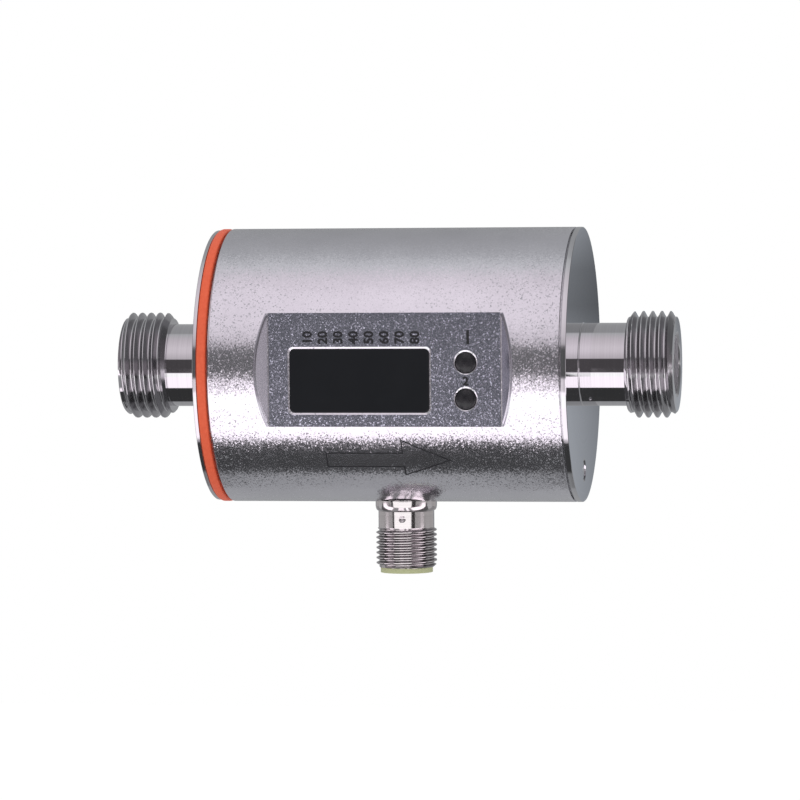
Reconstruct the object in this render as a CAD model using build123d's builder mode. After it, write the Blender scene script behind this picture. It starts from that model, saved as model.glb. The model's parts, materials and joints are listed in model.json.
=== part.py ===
from build123d import *
import os
from math import sqrt

# Compact flow meter with a threaded pipe stub at each end, in millimetres.
# The origin is the centre of the inlet end face. +X runs along the pipe, +Z up, and the display faces -Y.

# Pipe stubs: male G 1/2 threads, drawn as plain cylinders of the major diameter
meter_length = 110.0
pipe_thread_radius = 10.4775
pipe_thread_length = 9.4
pipe_thread_chamfer = 1.2
neck_radius = 8.15
port_radius = 6.0
port_chamfer = 0.4
stub_flange_radius = 17.0
stub_flange_width = 5.0
tube_socket_floor = 1.0

# Housing sleeve and its two covers
body_radius = 27.0
sleeve_wall = 1.2
inlet_cover_face = 18.7
inlet_rim_width = 0.55
inlet_rim_step = 0.25
ring_gap = 0.25
ring_width = 1.8
ring_height = 2.6
ring_edge = 0.35
sleeve_gap = 0.57
outlet_projection = 19.8
outlet_seam = 0.3
outlet_rim_width = 1.03
cover_web = 3.0
cover_spigot_wall = 1.6
cover_spigot_length = 5.4
cover_chamfer = 0.3
plug_radius = 2.0
plug_inset = 6.2
plug_step = 0.6
plug_recess = 0.15

# Display recess pressed into the sleeve
panel_half_height = 11.0
panel_end_run = 2.1
recess_edge_fillet = 0.6

# Display window and its opening
window_inset = 4.265
window_width = 27.25
window_bottom = -8.27
window_top = 4.03
window_corner = 1.0
window_rim_chamfer = 0.4
window_recess = 0.1
window_flange = 1.2
window_flange_thickness = 1.0
gasket_thickness = 0.4

# Push buttons
button_spacing = 7.11
button_inset = 6.975
mode_button_z = 1.32
set_button_z = -5.69
button_radius = 2.065
button_gap = 0.26
button_hole_chamfer = 0.15
button_proud = 0.35
button_dome = 0.45
button_travel = 0.5
button_flange = 0.75
button_flange_thickness = 0.7
button_stem_radius = 1.4
button_stop_gap = 0.05
button_end_gap = 0.3
guide_margin = 1.0
guide_floor = 1.2
guide_post_radius = 0.7

# Tact switches
switch_size = 4.0
switch_height = 1.3
plunger_radius = 0.9
plunger_length = 1.15
plunger_well = 1.0

# Connector: M12 plug with four pins
connector_radius = 6.0
connector_thread_length = 7.5
connector_thread_chamfer = 0.5
connector_neck_radius = 5.525
connector_neck_length = 4.1
collar_radius = 6.075
collar_depth = 2.4
collar_height = 3.4
collar_chamfer = 0.5
collar_groove_depth = 0.78
collar_groove_width = 1.0
collar_groove_inset = 1.0
stem_radius = 5.0
stem_end = 0.4
shell_bore_radius = 4.8
boss_radius = 8.5
boss_height = 3.4
nut_across_flats = 13.0
nut_height = 2.0
insert_projection = 1.4
insert_lip_radius = 5.165
socket_radius = 4.15
socket_depth = 9.0
insert_floor = 4.0
key_width = 0.9
key_height = 0.6
pin_circle_radius = 2.5
pin_radius = 0.5
pin_recess = 1.7

# Measuring tube and its electrodes
tube_radius = 7.5
tube_end_radius = 8.5
tube_throat_radius = 4.0
tube_taper_start = 30.0
tube_taper_length = 6.0
tube_end_overlap = 0.3
tube_seal_inset = 1.3
seal_section_radius = 0.5
electrode_radius = 1.0
electrode_boss_radius = 3.2
electrode_boss_reach = 9.0
electrode_flange_radius = 1.9
electrode_flange_width = 1.0
electrode_tail_radius = 0.8
electrode_tail = 1.5
electrode_seal_depth = 0.8
contact_radius = 0.75
contact_tip_radius = 0.5
contact_tip = 1.4

# Magnetic circuit: two poles with coils, closed by a yoke
pole_radius = 3.5
shoe_length = 14.0
shoe_width = 12.0
shoe_bottom = 5.2
shoe_top = 9.3
yoke_gap = 1.6
yoke_screw_gap = 2.0
yoke_length = 16.0
yoke_wall = 1.5
yoke_corner = 3.0
yoke_window_radius = 2.5
bobbin_wall = 0.8
bobbin_flange_radius = 7.2
bobbin_inner_flange = 0.8
bobbin_outer_flange = 1.2
bobbin_ear_reach = 11.2
bobbin_ear_width = 4.0
winding_radius = 6.9
terminal_radius = 0.3
terminal_reach = 9.5

# Tie screws
screw_radius = 1.5
screw_offset = 9.5
screw_head_radius = 2.7
screw_head_height = 3.0
screw_hole_gap = 0.1
screw_tip_inset = 0.3

# Boards and what they carry
holder_gap = 0.4
holder_thickness = 1.8
holder_inset = 1.55
holder_bore_gap = 0.1
slot_depth = 1.0
board_thickness = 1.6
main_board_inset = 9.7
main_board_edge_inset = 9.9
display_board_half_height = 12.0
display_depth = 2.4
display_side_margin = 1.125
display_top_margin = 1.73
display_bottom_margin = 1.17
display_gap = 0.36
lamp_count = 8
lamp_pitch = 3.0
lamp_inset = 3.5
lamp_drop = 0.73
lamp_width = 1.2
lamp_height = 0.8
lamp_depth = 0.9
processor_size = 10.0
processor_height = 1.4
capacitor_radius = 2.2
capacitor_height = 3.6
capacitor_count = 3
capacitor_pitch = 6.0
capacitor_inset = 8.3
connector_board_thickness = 1.0
connector_board_side = 8.0
connector_board_front = -8.0
connector_board_gap = 0.4
connector_board_rear_gap = 1.2
link_width = 6.0
link_gap = 0.5
link_margin = 1.2
link_depth = 1.6
link_height = 5.0

# Clearances
close_fit = 0.05
running_fit = 0.1

# Places worked out from the sizes above
ring_start = inlet_cover_face + inlet_rim_width + ring_gap
inlet_rim_radius = body_radius - inlet_rim_step
sleeve_start = ring_start + ring_width + sleeve_gap
sleeve_end = meter_length - outlet_projection
meter_mid = (sleeve_start + sleeve_end) / 2
panel_width = window_inset + window_width + button_spacing + button_inset
window_left = meter_mid - panel_width / 2 + window_inset
window_right = window_left + window_width
button_x = window_right + button_spacing
sleeve_bore_radius = body_radius - sleeve_wall
panel_y = -sqrt(body_radius**2 - panel_half_height**2)
panel_inner_y = panel_y + sleeve_wall
outlet_rim_start = sleeve_end + outlet_seam
outlet_cover_face = outlet_rim_start + outlet_rim_width
plug_drop = body_radius - plug_inset
cover_seat = {"inlet": inlet_cover_face + cover_web, "outlet": meter_length - outlet_cover_face + cover_web}
spigot_radius = sleeve_bore_radius - close_fit
tube_start = cover_seat["inlet"] + tube_socket_floor + close_fit
tube_end = meter_length - cover_seat["outlet"] - tube_socket_floor - close_fit
gasket_y = panel_inner_y + gasket_thickness
window_back_y = gasket_y + window_flange_thickness
display_front_y = window_back_y + display_gap
button_flange_y = panel_inner_y + button_stop_gap
display_board_front = display_front_y + display_depth
display_board_y = display_board_front + board_thickness
main_board_y = body_radius - main_board_inset
main_board_rear = main_board_y + board_thickness
holder_radius = sleeve_bore_radius - holder_gap
main_board_half_height = holder_radius - main_board_edge_inset
switch_top_y = display_board_front - switch_height
plunger_tip_y = switch_top_y - plunger_length + button_travel - close_fit
button_end_y = plunger_tip_y - close_fit
boss_top = boss_height - sleeve_bore_radius
stem_top = boss_top + nut_height + stem_end
collar_top = collar_depth - body_radius
collar_groove_top = collar_top - collar_groove_inset
collar_bottom = collar_top - collar_height
connector_thread_top = collar_bottom - connector_neck_length
connector_thread_end = connector_thread_top - connector_thread_length
insert_end = connector_thread_end - insert_projection
connector_board_rear = main_board_y - connector_board_rear_gap
connector_board_floor = -sqrt(holder_radius**2 - connector_board_rear**2)
connector_board_z = max(stem_top + connector_board_gap, connector_board_floor)
connector_board_top = connector_board_z + connector_board_thickness
yoke_height = -2 * (connector_board_top + yoke_gap)
yoke_depth = 2 * (screw_offset + screw_radius + yoke_screw_gap + yoke_wall)
holder_start = {"inlet": sleeve_start + cover_spigot_length + holder_inset}
holder_start["outlet"] = 2 * meter_mid - holder_start["inlet"] - holder_thickness
board_start = holder_start["inlet"] + holder_thickness - slot_depth + close_fit
board_end = holder_start["outlet"] + slot_depth - close_fit
button_places = {"mode": mode_button_z, "set": set_button_z}
screw_places = [(y, z) for y in (-screw_offset, screw_offset) for z in (-screw_offset, screw_offset)]

# Axes of the turned pieces: x runs along the axis and y away from it
pipe_axis = Plane(origin=(0, 0, 0), x_dir=(1, 0, 0), z_dir=(0, -1, 0))
connector_axis = Plane(origin=(meter_mid, 0, 0), x_dir=(0, 0, 1), z_dir=(0, 1, 0))


def depth_axis(x, z):
    """Axis from front to back through a point of the panel."""
    return Plane(origin=(x, 0, z), x_dir=(0, 1, 0), z_dir=(0, 0, 1))


def turn(outline, axis_plane, mode=Mode.ADD):
    """Turn a closed outline of (along, radius) points about an axis."""
    with BuildSketch(axis_plane) as section:
        with BuildLine():
            Polyline(*outline, close=True)
        make_face()
    revolve(section.sketch, axis=Axis(axis_plane.origin, axis_plane.x_dir), mode=mode)


def rod(start, end, radius, axis_plane, mode=Mode.ADD, bore=0.0):
    """A round bar or tube between two stations of an axis."""
    turn([(start, bore), (start, radius), (end, radius), (end, bore)], axis_plane, mode)


def seal_ring(station, ring_radius, section_radius, axis_plane):
    """An O-ring round an axis."""
    ring_centre = axis_plane.origin + axis_plane.x_dir * station + axis_plane.y_dir * ring_radius
    with BuildSketch(Plane(ring_centre, x_dir=axis_plane.x_dir, z_dir=axis_plane.z_dir)) as section:
        Circle(section_radius)
    revolve(section.sketch, axis=Axis(axis_plane.origin, axis_plane.x_dir))


def block(x_range, y_range, z_range, mode=Mode.ADD):
    """A square-edged block between its limits."""
    sizes = [high - low for low, high in (x_range, y_range, z_range)]
    middle = [(low + high) / 2 for low, high in (x_range, y_range, z_range)]
    with Locations(tuple(middle)):
        Box(*sizes, mode=mode)


def plate(x_range, z_range, y_range, corner, mode=Mode.ADD):
    """A plate parallel to the panel, with rounded corners."""
    middle = ((x_range[0] + x_range[1]) / 2, (z_range[0] + z_range[1]) / 2)
    with BuildSketch(Plane.XZ.offset(-y_range[0])) as outline:
        with Locations(middle):
            RectangleRounded(x_range[1] - x_range[0], z_range[1] - z_range[0], corner)
    extrude(outline.sketch, amount=y_range[0] - y_range[1], mode=mode)


def recess(grow, mode):
    """The trapezoid that presses the flat panel into the sleeve, grown by a wall for its inner side."""
    slope = panel_end_run / (body_radius + panel_y)
    shift = grow * (sqrt(1 + slope**2) - slope)
    reach = 2 * sleeve_wall
    floor_y = panel_y + grow
    half_floor = panel_width / 2 + shift
    half_mouth = half_floor + slope * (body_radius + floor_y + reach)
    with BuildSketch(Plane.XY.offset(-body_radius)) as outline:
        with BuildLine():
            Polyline(
                (meter_mid - half_mouth, -body_radius - reach),
                (meter_mid - half_floor, floor_y),
                (meter_mid + half_floor, floor_y),
                (meter_mid + half_mouth, -body_radius - reach),
                close=True,
            )
        make_face()
    extrude(outline.sketch, amount=2 * body_radius, mode=mode)


def is_slanted(face):
    """Whether a flat face leans between the pipe's direction and the front."""
    normal = face.normal_at()
    return min(abs(normal.X), abs(normal.Y)) > 0.1


def save(builder, name):
    """Label a finished piece and write it under its name."""
    builder.part.label = name
    export_step(builder.part, f"parts/{name}.step")


os.makedirs("parts", exist_ok=True)

# Hollow of the sleeve: its bore, less the back of the recess and the connector's boss
with BuildPart() as sleeve_hollow:
    rod(sleeve_start, sleeve_end, sleeve_bore_radius, pipe_axis)
    recess(sleeve_wall, Mode.SUBTRACT)
    rod(-body_radius, boss_top, boss_radius, connector_axis, Mode.SUBTRACT)

# Sleeve with its recess, window, button holes and connector seat
with BuildPart() as housing_sleeve:
    rod(sleeve_start, sleeve_end, body_radius, pipe_axis)
    recess(0.0, Mode.SUBTRACT)
    slanted_walls = housing_sleeve.faces().filter_by(GeomType.PLANE).filter_by(is_slanted)
    arcs = [e for wall in slanted_walls for e in wall.edges() if e.geom_type != GeomType.LINE]
    fillet(arcs, radius=min(recess_edge_fillet, sleeve_wall / 2))
    add(sleeve_hollow.part, mode=Mode.SUBTRACT)
    window_cut = (
        (window_left - close_fit, window_right + close_fit),
        (window_bottom - close_fit, window_top + close_fit),
    )
    plate(*window_cut, (-body_radius, panel_inner_y + sleeve_wall), window_corner, Mode.SUBTRACT)
    for button_z in button_places.values():
        button_bore = depth_axis(button_x, button_z)
        rod(-body_radius, panel_inner_y + sleeve_wall, button_radius + button_gap, button_bore, Mode.SUBTRACT)
    panel_face = housing_sleeve.faces().filter_by(Axis.Y).sort_by(Axis.Y)[0]
    window_rim = panel_face.inner_wires().sort_by(lambda w: w.length)[-1]
    chamfer(window_rim.edges(), length=min(window_rim_chamfer, sleeve_wall / 2))
    panel_face = housing_sleeve.faces().filter_by(Axis.Y).sort_by(Axis.Y)[0]
    button_rims = panel_face.inner_wires().sort_by(lambda w: w.length)[:-1]
    chamfer([e for rim in button_rims for e in rim.edges()], length=min(button_hole_chamfer, sleeve_wall / 2))
    rod(-body_radius, collar_top + close_fit, collar_radius + close_fit, connector_axis, Mode.SUBTRACT)
    rod(-body_radius, boss_top, stem_radius + close_fit, connector_axis, Mode.SUBTRACT)
save(housing_sleeve, "housing_sleeve")

# Inlet cover: a turned cup whose rim and spigot hold the ring
ring_seat_radius = body_radius - ring_height - close_fit
spigot_shoulder = ring_start + ring_width + close_fit
with BuildPart() as inlet_cover:
    turn(
        [
            (inlet_cover_face, neck_radius + close_fit),
            (inlet_cover_face, inlet_rim_radius - cover_chamfer),
            (inlet_cover_face + cover_chamfer, inlet_rim_radius),
            (inlet_cover_face + inlet_rim_width, inlet_rim_radius),
            (inlet_cover_face + inlet_rim_width, ring_seat_radius),
            (spigot_shoulder, ring_seat_radius),
            (spigot_shoulder, spigot_radius),
            (sleeve_start + cover_spigot_length, spigot_radius),
            (sleeve_start + cover_spigot_length, spigot_radius - cover_spigot_wall),
            (cover_seat["inlet"], spigot_radius - cover_spigot_wall),
            (cover_seat["inlet"], neck_radius + close_fit),
        ],
        pipe_axis,
    )
save(inlet_cover, "inlet_cover")

with BuildPart() as housing_seal_ring:
    turn(
        [
            (ring_start, body_radius - ring_height),
            (ring_start, body_radius - ring_edge),
            (ring_start + ring_edge, body_radius),
            (ring_start + ring_width - ring_edge, body_radius),
            (ring_start + ring_width, body_radius - ring_edge),
            (ring_start + ring_width, body_radius - ring_height),
        ],
        pipe_axis,
    )
save(housing_seal_ring, "housing_seal_ring")

# Outlet cover, with the stepped hole of the plug
plug_axis = Plane(origin=(0, 0, -plug_drop), x_dir=(1, 0, 0), z_dir=(0, -1, 0))
outlet_web_face = outlet_cover_face - cover_web
plug_ledge = outlet_cover_face - cover_web / 2
with BuildPart() as outlet_cover:
    turn(
        [
            (outlet_cover_face, neck_radius + close_fit),
            (outlet_cover_face, body_radius - cover_chamfer),
            (outlet_cover_face - cover_chamfer, body_radius),
            (outlet_rim_start, body_radius),
            (outlet_rim_start, spigot_radius),
            (sleeve_end - cover_spigot_length, spigot_radius),
            (sleeve_end - cover_spigot_length, spigot_radius - cover_spigot_wall),
            (outlet_web_face, spigot_radius - cover_spigot_wall),
            (outlet_web_face, neck_radius + close_fit),
        ],
        pipe_axis,
    )
    rod(plug_ledge, outlet_cover_face, plug_radius + close_fit, plug_axis, Mode.SUBTRACT)
    rod(outlet_web_face, outlet_cover_face, plug_radius - plug_step + close_fit, plug_axis, Mode.SUBTRACT)
save(outlet_cover, "outlet_cover")

with BuildPart() as vent_plug:
    turn(
        [
            (outlet_web_face, 0),
            (outlet_web_face, plug_radius - plug_step),
            (plug_ledge + close_fit, plug_radius - plug_step),
            (plug_ledge + close_fit, plug_radius),
            (outlet_cover_face - plug_recess - cover_chamfer, plug_radius),
            (outlet_cover_face - plug_recess, plug_radius - cover_chamfer),
            (outlet_cover_face - plug_recess, 0),
        ],
        plug_axis,
    )
save(vent_plug, "vent_plug")


def stub_outline(seat):
    """Outline of a stub, as (distance from its end face, radius)."""
    thread_tip_radius = pipe_thread_radius - pipe_thread_chamfer
    flange_end = seat + stub_flange_width
    socket_start = seat + tube_socket_floor
    return [
        (0, port_radius + port_chamfer),
        (0, thread_tip_radius),
        (pipe_thread_chamfer, pipe_thread_radius),
        (pipe_thread_length - pipe_thread_chamfer, pipe_thread_radius),
        (pipe_thread_length, thread_tip_radius),
        (pipe_thread_length, neck_radius),
        (seat, neck_radius),
        (seat, stub_flange_radius),
        (flange_end, stub_flange_radius),
        (flange_end, tube_end_radius + close_fit),
        (socket_start, tube_end_radius + close_fit),
        (socket_start, port_radius),
        (port_chamfer, port_radius),
    ]


# Inlet stub: its flange takes the threaded ends of the tie screws
with BuildPart() as inlet_stub:
    turn(stub_outline(cover_seat["inlet"]), pipe_axis)
    for screw_y, screw_z in screw_places:
        screw_axis = Plane(origin=(0, screw_y, screw_z), x_dir=(1, 0, 0), z_dir=(0, -1, 0))
        hole = (cover_seat["inlet"], cover_seat["inlet"] + stub_flange_width)
        rod(*hole, screw_radius + close_fit, screw_axis, Mode.SUBTRACT)
save(inlet_stub, "inlet_stub")

# Outlet stub: its flange has the counterbored holes for the heads
outlet_flange_rear = meter_length - cover_seat["outlet"]
outlet_flange_front = outlet_flange_rear - stub_flange_width
head_seat = outlet_flange_rear - screw_head_height - close_fit
with BuildPart() as outlet_stub:
    turn([(meter_length - along, radius) for along, radius in stub_outline(cover_seat["outlet"])], pipe_axis)
    for screw_y, screw_z in screw_places:
        screw_axis = Plane(origin=(0, screw_y, screw_z), x_dir=(1, 0, 0), z_dir=(0, -1, 0))
        hole_radius = screw_radius + screw_hole_gap
        rod(outlet_flange_front, outlet_flange_rear, hole_radius, screw_axis, Mode.SUBTRACT)
        rod(head_seat, outlet_flange_rear, screw_head_radius + screw_hole_gap, screw_axis, Mode.SUBTRACT)
save(outlet_stub, "outlet_stub")

with BuildPart() as tie_screws:
    for screw_y, screw_z in screw_places:
        screw_axis = Plane(origin=(0, screw_y, screw_z), x_dir=(1, 0, 0), z_dir=(0, -1, 0))
        turn(
            [
                (cover_seat["inlet"] + screw_tip_inset, 0),
                (cover_seat["inlet"] + screw_tip_inset, screw_radius),
                (head_seat, screw_radius),
                (head_seat, screw_head_radius),
                (head_seat + screw_head_height, screw_head_radius),
                (head_seat + screw_head_height, 0),
            ],
            screw_axis,
        )
save(tie_screws, "tie_screws")

# Measuring tube: wide ends, a narrow throat and two bosses for the electrodes
taper_end = tube_taper_start + tube_taper_length
outlet_taper_end = tube_end - (tube_taper_start - tube_start)
outlet_taper_start = outlet_taper_end - tube_taper_length
inlet_shoulder = cover_seat["inlet"] + stub_flange_width + tube_end_overlap
outlet_shoulder = outlet_flange_front - tube_end_overlap
seal_groove = tube_end_radius - 2 * seal_section_radius
seal_stations = {"inlet": tube_start + tube_seal_inset, "outlet": tube_end - tube_seal_inset}
boss_seal_floor = electrode_boss_reach - electrode_seal_depth
with BuildPart() as measuring_tube:
    turn(
        [
            (tube_start, port_radius),
            (tube_start, tube_end_radius),
            (inlet_shoulder, tube_end_radius),
            (inlet_shoulder, tube_radius),
            (outlet_shoulder, tube_radius),
            (outlet_shoulder, tube_end_radius),
            (tube_end, tube_end_radius),
            (tube_end, port_radius),
            (outlet_taper_end, port_radius),
            (outlet_taper_start, tube_throat_radius),
            (taper_end, tube_throat_radius),
            (tube_taper_start, port_radius),
        ],
        pipe_axis,
    )
    for station in seal_stations.values():
        groove = (station - seal_section_radius - close_fit, station + seal_section_radius + close_fit)
        rod(*groove, tube_end_radius + close_fit, pipe_axis, Mode.SUBTRACT, bore=seal_groove)
    electrode_axis = depth_axis(meter_mid, 0)
    for side in (-1, 1):
        electrode_hole = (side * tube_throat_radius / 2, side * electrode_boss_reach)
        rod(side * tube_throat_radius, side * electrode_boss_reach, electrode_boss_radius, electrode_axis)
        rod(*electrode_hole, electrode_radius + close_fit, electrode_axis, Mode.SUBTRACT)
        seat = (side * boss_seal_floor, side * electrode_boss_reach)
        rod(*seat, electrode_flange_radius, electrode_axis, Mode.SUBTRACT)
save(measuring_tube, "measuring_tube")

for end, station in seal_stations.items():
    with BuildPart() as tube_seal:
        seal_ring(station, tube_end_radius - seal_section_radius, seal_section_radius, pipe_axis)
    save(tube_seal, f"{end}_tube_seal")

# Electrodes, their seals and the sprung contacts behind them
electrode_end = electrode_boss_reach + electrode_flange_width + electrode_tail
for name, side, board_face in (("front", -1, -display_board_y), ("rear", 1, main_board_y)):
    electrode_outline = [
        (side * tube_throat_radius, 0),
        (side * tube_throat_radius, electrode_radius),
        (side * electrode_boss_reach, electrode_radius),
        (side * electrode_boss_reach, electrode_flange_radius),
        (side * (electrode_boss_reach + electrode_flange_width), electrode_flange_radius),
        (side * (electrode_boss_reach + electrode_flange_width), electrode_tail_radius),
        (side * electrode_end, electrode_tail_radius),
        (side * electrode_end, 0),
    ]
    with BuildPart() as electrode:
        turn(electrode_outline, electrode_axis)
    save(electrode, f"{name}_electrode")
    contact_outline = [
        (side * electrode_end, 0),
        (side * electrode_end, contact_tip_radius),
        (side * (electrode_end + contact_tip), contact_tip_radius),
        (side * (electrode_end + contact_tip), contact_radius),
        (side * board_face, contact_radius),
        (side * board_face, 0),
    ]
    with BuildPart() as contact:
        turn(contact_outline, electrode_axis)
    save(contact, f"{name}_contact")

electrode_seal_section = (electrode_flange_radius - electrode_radius) / 2 - close_fit
electrode_seal_ring = (electrode_flange_radius + electrode_radius) / 2
electrode_seal_station = electrode_boss_reach - electrode_seal_section
with BuildPart() as electrode_seals:
    for side in (-1, 1):
        seal_ring(side * electrode_seal_station, electrode_seal_ring, electrode_seal_section, electrode_axis)
save(electrode_seals, "electrode_seals")

# Magnetic circuit, the upper half and its mirror image below the pipe
yoke_inner_z = yoke_height / 2 - yoke_wall
bobbin_bottom = shoe_top + close_fit
bobbin_top = yoke_inner_z - close_fit
ear_z = bobbin_top - bobbin_outer_flange
for name, side in (("upper", 1), ("lower", -1)):
    with BuildPart() as pole:
        shoe_y = (-shoe_width / 2, shoe_width / 2)
        shoe_z = sorted((side * shoe_bottom, side * shoe_top))
        block((meter_mid - shoe_length / 2, meter_mid + shoe_length / 2), shoe_y, shoe_z)
        rod(side * (shoe_top - bobbin_wall), side * yoke_inner_z, pole_radius, connector_axis)
        rod(0, meter_length, tube_radius + close_fit, pipe_axis, Mode.SUBTRACT)
    save(pole, f"{name}_pole")
    with BuildPart() as bobbin:
        turn(
            [
                (side * bobbin_bottom, pole_radius + close_fit),
                (side * bobbin_bottom, bobbin_flange_radius),
                (side * (bobbin_bottom + bobbin_inner_flange), bobbin_flange_radius),
                (side * (bobbin_bottom + bobbin_inner_flange), pole_radius + bobbin_wall),
                (side * ear_z, pole_radius + bobbin_wall),
                (side * ear_z, bobbin_flange_radius),
                (side * bobbin_top, bobbin_flange_radius),
                (side * bobbin_top, pole_radius + close_fit),
            ],
            connector_axis,
        )
        ear_y = (-bobbin_ear_width / 2, bobbin_ear_width / 2)
        ear_x = (meter_mid - bobbin_ear_reach, meter_mid + bobbin_ear_reach)
        block(ear_x, ear_y, sorted((side * ear_z, side * bobbin_top)))
        core_hole = (side * ear_z, side * bobbin_top)
        rod(*core_hole, pole_radius + close_fit, connector_axis, Mode.SUBTRACT)
    save(bobbin, f"{name}_bobbin")
    with BuildPart() as winding:
        coil = (side * (bobbin_bottom + bobbin_inner_flange + close_fit), side * (ear_z - close_fit))
        rod(*coil, winding_radius, connector_axis, bore=pole_radius + bobbin_wall + close_fit)
    save(winding, f"{name}_winding")

terminal_z = (ear_z + bobbin_top) / 2
with BuildPart() as coil_terminals:
    for side_x in (-1, 1):
        for side_z in (-1, 1):
            terminal_axis = depth_axis(meter_mid + side_x * terminal_reach, side_z * terminal_z)
            rod(bobbin_ear_width / 2, main_board_y, terminal_radius, terminal_axis)
save(coil_terminals, "coil_terminals")

with BuildPart() as yoke:
    with BuildSketch(Plane.YZ.offset(meter_mid - yoke_length / 2)) as band:
        RectangleRounded(yoke_depth, yoke_height, yoke_corner)
        inner_corner = yoke_corner - yoke_wall
        inner_size = (yoke_depth - 2 * yoke_wall, yoke_height - 2 * yoke_wall)
        RectangleRounded(*inner_size, inner_corner, mode=Mode.SUBTRACT)
    extrude(amount=yoke_length)
    rod(-yoke_depth, yoke_depth, yoke_window_radius, electrode_axis, Mode.SUBTRACT)
save(yoke, "yoke")

# Discs that carry the boards in slots and sit on the tie screws
board_edges = {
    "main": (main_board_y, main_board_rear, main_board_half_height),
    "display": (display_board_front, display_board_y, display_board_half_height),
}
slot_face = {"inlet": holder_start["inlet"] + holder_thickness, "outlet": holder_start["outlet"]}
slot_reach = {"inlet": -slot_depth, "outlet": slot_depth}
for end in ("inlet", "outlet"):
    disc = (holder_start[end], holder_start[end] + holder_thickness)
    with BuildPart() as board_holder:
        rod(*disc, holder_radius, pipe_axis, bore=tube_end_radius + holder_bore_gap)
        for screw_y, screw_z in screw_places:
            screw_axis = Plane(origin=(0, screw_y, screw_z), x_dir=(1, 0, 0), z_dir=(0, -1, 0))
            rod(*disc, screw_radius + screw_hole_gap, screw_axis, Mode.SUBTRACT)
        slot_x = sorted((slot_face[end], slot_face[end] + slot_reach[end]))
        for low_y, high_y, half_height in board_edges.values():
            slot_y = (low_y - close_fit, high_y + close_fit)
            slot_z = (-half_height - close_fit, half_height + close_fit)
            block(slot_x, slot_y, slot_z, Mode.SUBTRACT)
    save(board_holder, f"{end}_board_holder")

for board_name, (low_y, high_y, half_height) in board_edges.items():
    with BuildPart() as board:
        block((board_start, board_end), (low_y, high_y), (-half_height, half_height))
    save(board, f"{board_name}_board")

processor_x = (meter_mid - processor_size / 2, meter_mid + processor_size / 2)
with BuildPart() as processor:
    chip_y = (main_board_rear, main_board_rear + processor_height)
    block(processor_x, chip_y, (-processor_size / 2, processor_size / 2))
save(processor, "processor")

with BuildPart() as capacitors:
    for index in range(capacitor_count):
        capacitor_z = (index - (capacitor_count - 1) / 2) * capacitor_pitch
        capacitor_y = (main_board_rear, main_board_rear + capacitor_height)
        rod(*capacitor_y, capacitor_radius, depth_axis(board_start + capacitor_inset, capacitor_z))
save(capacitors, "capacitors")

# Window with its flange behind the wall, the gasket, the display and the row of lamps
flange_x = (window_left - window_flange, window_right + window_flange)
flange_z = (window_bottom - window_flange, window_top + window_flange)
flange_corner = window_corner + window_flange / 2
with BuildPart() as display_window:
    plate(flange_x, flange_z, (gasket_y, window_back_y), flange_corner)
    window_front_y = panel_y + window_recess
    plate((window_left, window_right), (window_bottom, window_top), (window_front_y, gasket_y), window_corner)
save(display_window, "display_window")

with BuildPart() as window_gasket:
    plate(flange_x, flange_z, (panel_inner_y, gasket_y), flange_corner)
    inner_x = (window_left - running_fit, window_right + running_fit)
    inner_z = (window_bottom - running_fit, window_top + running_fit)
    plate(inner_x, inner_z, (panel_inner_y, gasket_y), window_corner, Mode.SUBTRACT)
save(window_gasket, "window_gasket")

with BuildPart() as display_module:
    module_x = (window_left + display_side_margin, window_right - display_side_margin)
    module_z = (window_bottom + display_bottom_margin, window_top - display_top_margin)
    block(module_x, (display_front_y, display_board_front), module_z)
save(display_module, "display_module")

with BuildPart() as status_lamps:
    for index in range(lamp_count):
        lamp_x = window_left + lamp_inset + index * lamp_pitch
        lamp_y = (display_board_front - lamp_depth, display_board_front)
        lamp_z = window_top - lamp_drop
        lamp_z_range = (lamp_z - lamp_height / 2, lamp_z + lamp_height / 2)
        block((lamp_x - lamp_width / 2, lamp_x + lamp_width / 2), lamp_y, lamp_z_range)
save(status_lamps, "status_lamps")

# Button guide: a block with two stepped bores, on two posts
guide_bore_radius = button_radius + button_flange + running_fit
guide_step_y = button_flange_y + button_flange_thickness + button_travel + button_end_gap
guide_back_y = guide_step_y + guide_floor
guide_x = (button_x - guide_bore_radius - guide_margin, button_x + guide_bore_radius + guide_margin)
guide_z = (set_button_z - guide_bore_radius - guide_margin, mode_button_z + guide_bore_radius + guide_margin)
post_z = (mode_button_z + set_button_z) / 2
with BuildPart() as button_guide:
    plate(guide_x, guide_z, (panel_inner_y, guide_back_y), guide_margin)
    for button_z in button_places.values():
        button_bore = depth_axis(button_x, button_z)
        rod(panel_inner_y, guide_step_y, guide_bore_radius, button_bore, Mode.SUBTRACT)
        rod(panel_inner_y, guide_back_y, button_stem_radius + running_fit, button_bore, Mode.SUBTRACT)
    for post_x in (guide_x[0] + guide_margin, guide_x[1] - guide_margin):
        rod(guide_back_y, display_board_front, guide_post_radius, depth_axis(post_x, post_z))
save(button_guide, "button_guide")

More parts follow.
